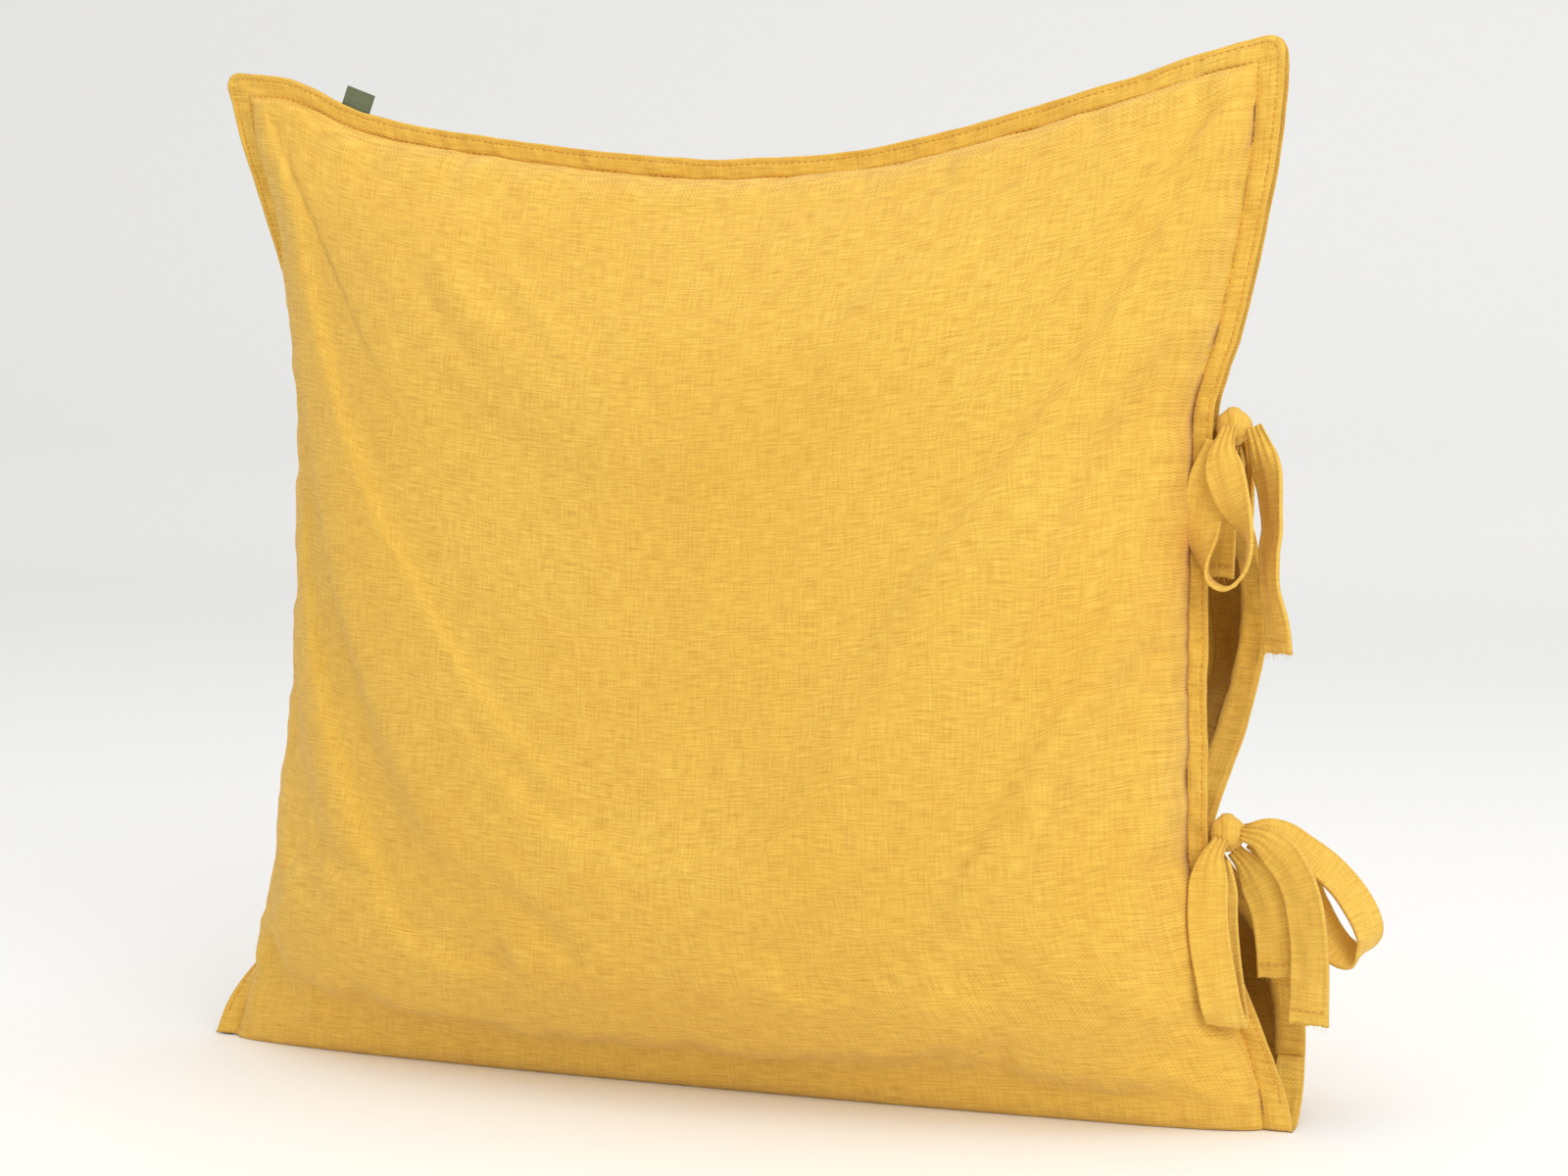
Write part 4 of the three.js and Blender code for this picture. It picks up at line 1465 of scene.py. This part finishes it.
@dataclass
class Bow:
    """One tied bow: its knot, the two leads from the hem, and its loops and tails."""

    which: str
    parts: tuple[TiePiece, ...]
    steps: int = 70
    hem_from_end: float = 6 * MM
    ribbon: Ribbon = field(default_factory=Ribbon)
    noise: Noise = field(default_factory=lambda: Noise(19))

    def centre(self) -> Vector:
        """Middle of the knot, from the model."""
        low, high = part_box(f"{self.which}_knot")
        return (low + high) / 2

    def knot(self) -> bpy.types.Object:
        """Tight wrapped knot: a pleated lump with a band drawn round it."""
        low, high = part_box(f"{self.which}_knot")
        half = np.array((high - low) / 2)
        theta, phi = np.meshgrid(np.linspace(0, 2 * math.pi, 73), np.linspace(0.02, math.pi - 0.02, 44))
        slant = theta + 0.9 * np.cos(phi)
        pleats = 0.05 * np.abs(np.sin(2.5 * slant + 2.0 * phi)) + 0.03 * self.noise.at(theta * 2.5, phi * 4)
        belt = 0.11 * smooth((0.42 - np.abs(phi - math.pi / 2 - 0.25 * np.sin(theta))) / 0.12)
        radius = 1.0 + 1.2 * pleats + belt
        direction = np.stack([np.sin(phi) * np.cos(theta), np.sin(phi) * np.sin(theta), np.cos(phi)], -1)
        direction = direction[..., [2, 1, 0]]
        points = np.array(self.centre()) + direction * half * radius[..., None]
        points[:, -1] = points[:, 0]
        rows, columns = theta.shape
        index = np.arange(rows * columns).reshape(rows, columns)
        index[:, -1] = index[:, 0]
        faces = []
        for j in range(rows - 1):
            for i in range(columns - 1):
                faces.append((index[j, i], index[j + 1, i], index[j + 1, i + 1], index[j, i + 1]))
        faces.append(tuple(index[0, :-1]))
        faces.append(tuple(index[-1, :-1][::-1]))
        used = sorted({i for f in faces for i in f})
        renumber = {old: new for new, old in enumerate(used)}
        faces = [tuple(renumber[i] for i in f) for f in faces]
        uv = np.stack([theta * 0.009, phi * 0.009], -1).reshape(-1, 2)[used]
        piece = new_mesh(f"{self.which}_tied_knot", points.reshape(-1, 3)[used], faces, uv)
        repair_normals(piece)
        dress(piece, RIBBON_LINEN)
        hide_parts(f"{self.which}_knot")
        return piece

    def lead(self, face: Face) -> bpy.types.Object:
        """Short lead of one tie from under the hem to the knot.

        Args:
            face: front or back.

        Returns:
            The new object.
        """
        node = f"{self.which}_{face.word}_tie_lead"
        low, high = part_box(node)
        y, z = (low.y + high.y) / 2, (low.z + high.z) / 2
        x = np.linspace(low.x, high.x, 12)
        places = np.stack([x, np.full(12, y), np.full(12, z)], -1)
        wides = np.tile([0.0, 0.0, 1.0], (12, 1))
        strip = Ribbon(width=high.z - low.z, thickness=0.5 * MM, edge_fold=0.15 * MM, pleat=0.4 * MM)
        piece = strip.build(f"{node}_strip", places, wides, self.centre())
        dress(piece, RIBBON_LINEN)
        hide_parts(node)
        return piece

    def frays(self, name: str, places: np.ndarray, wides: np.ndarray) -> bpy.types.Object:
        """Loose threads at the raw end of a tail.

        Args:
            name: the piece's name.
            places: middle line of the tail.
            wides: the ribbon's width direction at each place.

        Returns:
            The new object.
        """
        along = places[-1] - places[-3]
        along /= np.linalg.norm(along)
        draw = np.random.RandomState(len(name))
        points, faces = [], []
        for k in range(9):
            across = wides[-1] * self.ribbon.width * (-0.48 + 0.96 * (k + draw.uniform(-0.3, 0.3)) / 8)
            length = draw.uniform(1.5, 4.5) * MM
            curl = draw.uniform(-0.6, 0.6, 3)
            base = places[-1] + across - along * 0.8 * MM
            start = len(points)
            for step in range(4):
                k_step = step / 3
                at = base + along * length * k_step + curl * length * k_step**2 * 0.6
                for side in range(3):
                    a = 2 * math.pi * side / 3
                    ring = wides[-1] * math.cos(a) + np.cross(along, wides[-1]) * math.sin(a)
                    points.append(at + ring * 0.18 * MM * (1.1 - 0.7 * k_step))
            for step in range(3):
                for side in range(3):
                    a, b = start + 3 * step + side, start + 3 * step + (side + 1) % 3
                    faces.append((a, b, b + 3, a + 3))
            faces.append((start + 2, start + 1, start))
            faces.append((start + 9, start + 10, start + 11))
        points = np.array(points)
        piece = new_mesh(name, points, faces, points[:, [0, 2]])
        dress(piece, RIBBON_LINEN)
        return piece

    def part(self, tie: TiePiece) -> list[bpy.types.Object]:
        """One loop or tail with what is sewn on it.

        Args:
            tie: the loop or tail.

        Returns:
            Its objects.
        """
        knot = self.centre()
        places, wides = tie.path.stations(knot, self.steps)
        tail = tie.name.endswith("tail")
        strip = self.ribbon.build(f"{tie.name}_ribbon", places, wides, knot, frayed=tail)
        dress(strip, RIBBON_LINEN)
        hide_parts(tie.name)
        made = [strip]
        if tail:
            run = np.concatenate([[0], np.cumsum(np.linalg.norm(np.diff(places, axis=0), axis=1))])
            at = int(np.argmin(np.abs(run - (run[-1] - self.hem_from_end))))
            along = places[at] - places[at - 1]
            along /= np.linalg.norm(along)
            across = wides[at] - along * np.dot(wides[at], along)
            across /= np.linalg.norm(across)
            up = np.cross(along, across)
            up = -up if up[1] > 0 else up
            k = np.linspace(-0.44, 0.44, 30)[:, None]
            line = places[at] + across * k * self.ribbon.width + up * (self.ribbon.thickness / 2 + 0.5 * MM)
            hem = ThreadRow().build(f"{tie.name}_hem_stitches", line, np.tile(up, (30, 1)))
            dress(hem, THREAD)
            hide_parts(f"{tie.name}_hem")
            made += [hem, self.frays(f"{tie.name}_frayed_end", places, wides)]
        for piece in made:
            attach(piece, tie.name)
        return made

    def build(self) -> None:
        """Makes the whole bow."""
        fixed = [self.knot()] + [self.lead(face) for face in Face]
        for piece in fixed:
            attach(piece, "cover")
        for tie in self.parts:
            self.part(tie)
            LOG.info("tie piece %s", tie.name)


def repair_normals(piece: bpy.types.Object) -> None:
    """Turns every face of a closed mesh outwards.

    Args:
        piece: the closed mesh object.
    """
    bpy.ops.object.select_all(action="DESELECT")
    bpy.context.view_layer.objects.active = piece
    piece.select_set(True)
    bpy.ops.object.mode_set(mode="EDIT")
    bpy.ops.mesh.select_all(action="SELECT")
    bpy.ops.mesh.normals_make_consistent(inside=False)
    bpy.ops.object.mode_set(mode="OBJECT")
    piece.select_set(False)


# ---------------------------------------------------------------- the label
@dataclass
class Label:
    """Blank woven tab, folded over at its top."""

    relief: Relief
    thickness: float = 0.4 * MM
    gap: float = 0.12 * MM
    sunk: float = 1.0 * MM

    def edge(self, s: np.ndarray) -> np.ndarray:
        """Point of the top edge, in the seam plane.

        Args:
            s: share across, from -1 at the closed side to 1 at the mouth.

        Returns:
            One point.
        """
        shape, t = self.relief.shape, np.array(1.0)
        p = shape.middle(s, t, Face.FRONT) + self.relief.outline(s, t, Face.FRONT)
        p[1] = shape.seam_y
        return p

    def build(self) -> None:
        """Makes the folded tape in the space of the model's tab."""
        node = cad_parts["woven_label"]
        points = np.array([v.co for v in node.data.vertices])
        centre = points.mean(0)
        share = np.array(centre[0] / (self.relief.shape.top_width / 2))
        flat = points - centre
        flat[:, 1] = 0
        _, _, axes = np.linalg.svd(flat, full_matrices=False)
        across = axes[0] * (1 if axes[0][0] > 0 else -1)
        half_width = np.abs(flat @ across).max()
        half_height = np.abs(flat @ np.array([-across[2], 0, across[0]])).max()
        leaning = self.edge(share + 0.015) - self.edge(share - 0.015)
        across = leaning / np.linalg.norm(leaning)
        rise = np.array([-across[2], 0, across[0]])
        fold = self.thickness / 2 + self.gap / 2
        straight = np.linspace(-half_height, half_height - fold, 14)
        turn = np.linspace(0, math.pi, 9)[1:-1]
        line = [(-fold, z) for z in straight]
        line += [(-fold * math.cos(a), half_height - fold + fold * math.sin(a)) for a in turn]
        line += [(fold, z) for z in straight[::-1]]
        line = np.array(line)
        tangent = np.gradient(line, axis=0)
        tangent /= np.linalg.norm(tangent, axis=1, keepdims=True)
        outward = np.stack([-tangent[:, 1], tangent[:, 0]], -1)
        run = np.concatenate([[0], np.cumsum(np.linalg.norm(np.diff(line, axis=0), axis=1))])
        u = np.linspace(-half_width, half_width, 17)
        y_axis = np.array([0.0, 1.0, 0.0])
        centre = self.edge(share) + rise * (half_height - self.sunk)

        def leaf(offset: float) -> np.ndarray:
            """One face of the tape.

            Args:
                offset: distance from the middle of the tape, in metres.

            Returns:
                Points of that face.
            """
            p = line + outward * offset
            rows = centre + p[:, :1] * y_axis + p[:, 1:] * rise
            return rows[:, None, :] + u[None, :, None] * across

        uv = np.stack(np.broadcast_arrays(u[None, :], run[:, None]), -1)
        piece = shell("woven_label_tab", leaf(self.thickness / 2), leaf(-self.thickness / 2), uv, False)
        repair_normals(piece)
        dress(piece, LABEL_TAPE)
        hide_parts("woven_label")
        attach(piece, "label")
        LOG.info("label %s", piece.name)


# ---------------------------------------------------------------- floor, light and camera
@dataclass
class Studio:
    """Plain pale floor, soft light and the camera."""

    azimuth: float = 21.0
    elevation: float = 4.1
    distance: float = 1.55
    aim: tuple[float, float, float] = (0.0373, -0.015, 0.2624)
    lens: float = 68.26
    sensor: float = 36.0

    def floor(self) -> None:
        """Wide plain floor that rises behind the object."""
        bpy.ops.mesh.primitive_grid_add(x_subdivisions=2, y_subdivisions=24, size=1, location=(0, 0, 0))
        floor = bpy.context.object
        floor.name = "studio_floor"
        for vertex in floor.data.vertices:
            k = vertex.co.y + 0.5
            y = -6 + 12 * k
            rise = max(0.0, y - 3.2)
            vertex.co = Vector((vertex.co.x * 24, min(y, 3.2 + 1.6 * math.tanh(rise / 1.6)), 1.4 * rise**1.5))
        floor.data.polygons.foreach_set("use_smooth", [True] * len(floor.data.polygons))
        made = bpy.data.materials.new("studio_paper")
        made.use_nodes = True
        shader = made.node_tree.nodes["Principled BSDF"]
        socket_value(shader, "Base Color", (0.93, 0.93, 0.92, 1))
        socket_value(shader, "Roughness", 0.9)
        floor.data.materials.append(made)

    def lamp(
        self,
        name: str,
        place: tuple[float, float, float],
        size: float,
        power: float,
        target: Vector,
    ) -> None:
        """One large soft lamp aimed at the object.

        Args:
            name: the lamp's name.
            place: where it stands, in metres.
            size: its side, in metres.
            power: watts.
            target: the point that it faces.
        """
        light = bpy.data.lights.new(name, "AREA")
        light.shape = "DISK"
        light.size = size
        light.energy = power
        thing = bpy.data.objects.new(name, light)
        bpy.context.scene.collection.objects.link(thing)
        thing.location = place
        thing.rotation_euler = (target - Vector(place)).to_track_quat("-Z", "Y").to_euler()

    def build(self) -> None:
        """Makes the floor, the lamps, the sky light and the camera."""
        self.floor()
        target = Vector((0, 0, 0.27))
        self.lamp("key_softbox", (2.3, -2.3, 2.0), 2.2, 43, target)
        self.lamp("top_softbox", (0.5, -0.4, 2.8), 2.4, 20, target)
        world = bpy.context.scene.world or bpy.data.worlds.new("studio_sky")
        bpy.context.scene.world = world
        world.use_nodes = True
        sky = world.node_tree.nodes.get("Background")
        socket_value(sky, "Color", (1.0, 0.995, 0.985, 1))
        socket_value(sky, "Strength", 0.78)
        a, e = math.radians(self.azimuth), math.radians(self.elevation)
        back = Vector((math.sin(a) * math.cos(e), -math.cos(a) * math.cos(e), math.sin(e)))
        camera = bpy.data.cameras.new("view_camera")
        camera.lens, camera.sensor_width = self.lens, self.sensor
        thing = bpy.data.objects.new("view_camera", camera)
        bpy.context.scene.collection.objects.link(thing)
        thing.location = Vector(self.aim) + back * self.distance
        thing.rotation_euler = (-back).to_track_quat("-Z", "Y").to_euler()
        bpy.context.scene.camera = thing
        bpy.context.scene.view_settings.view_transform = "Standard"
        LOG.info("studio")


def main() -> None:
    """Builds the cushion piece by piece."""
    logging.basicConfig(level=logging.INFO, format="%(name)s: %(message)s")
    shape = CoverShape()
    relief = Relief(shape)
    relief.drape = {face: DrapeSimulation(shape).run(face) for face in Face}
    Studio().build()
    Insert(shape).build()
    Cover(shape, relief).build()
    Bow("upper", UPPER_PIECES).build()
    Bow("lower", LOWER_PIECES).build()
    Label(relief).build()


if __name__ == "__main__":
    main()
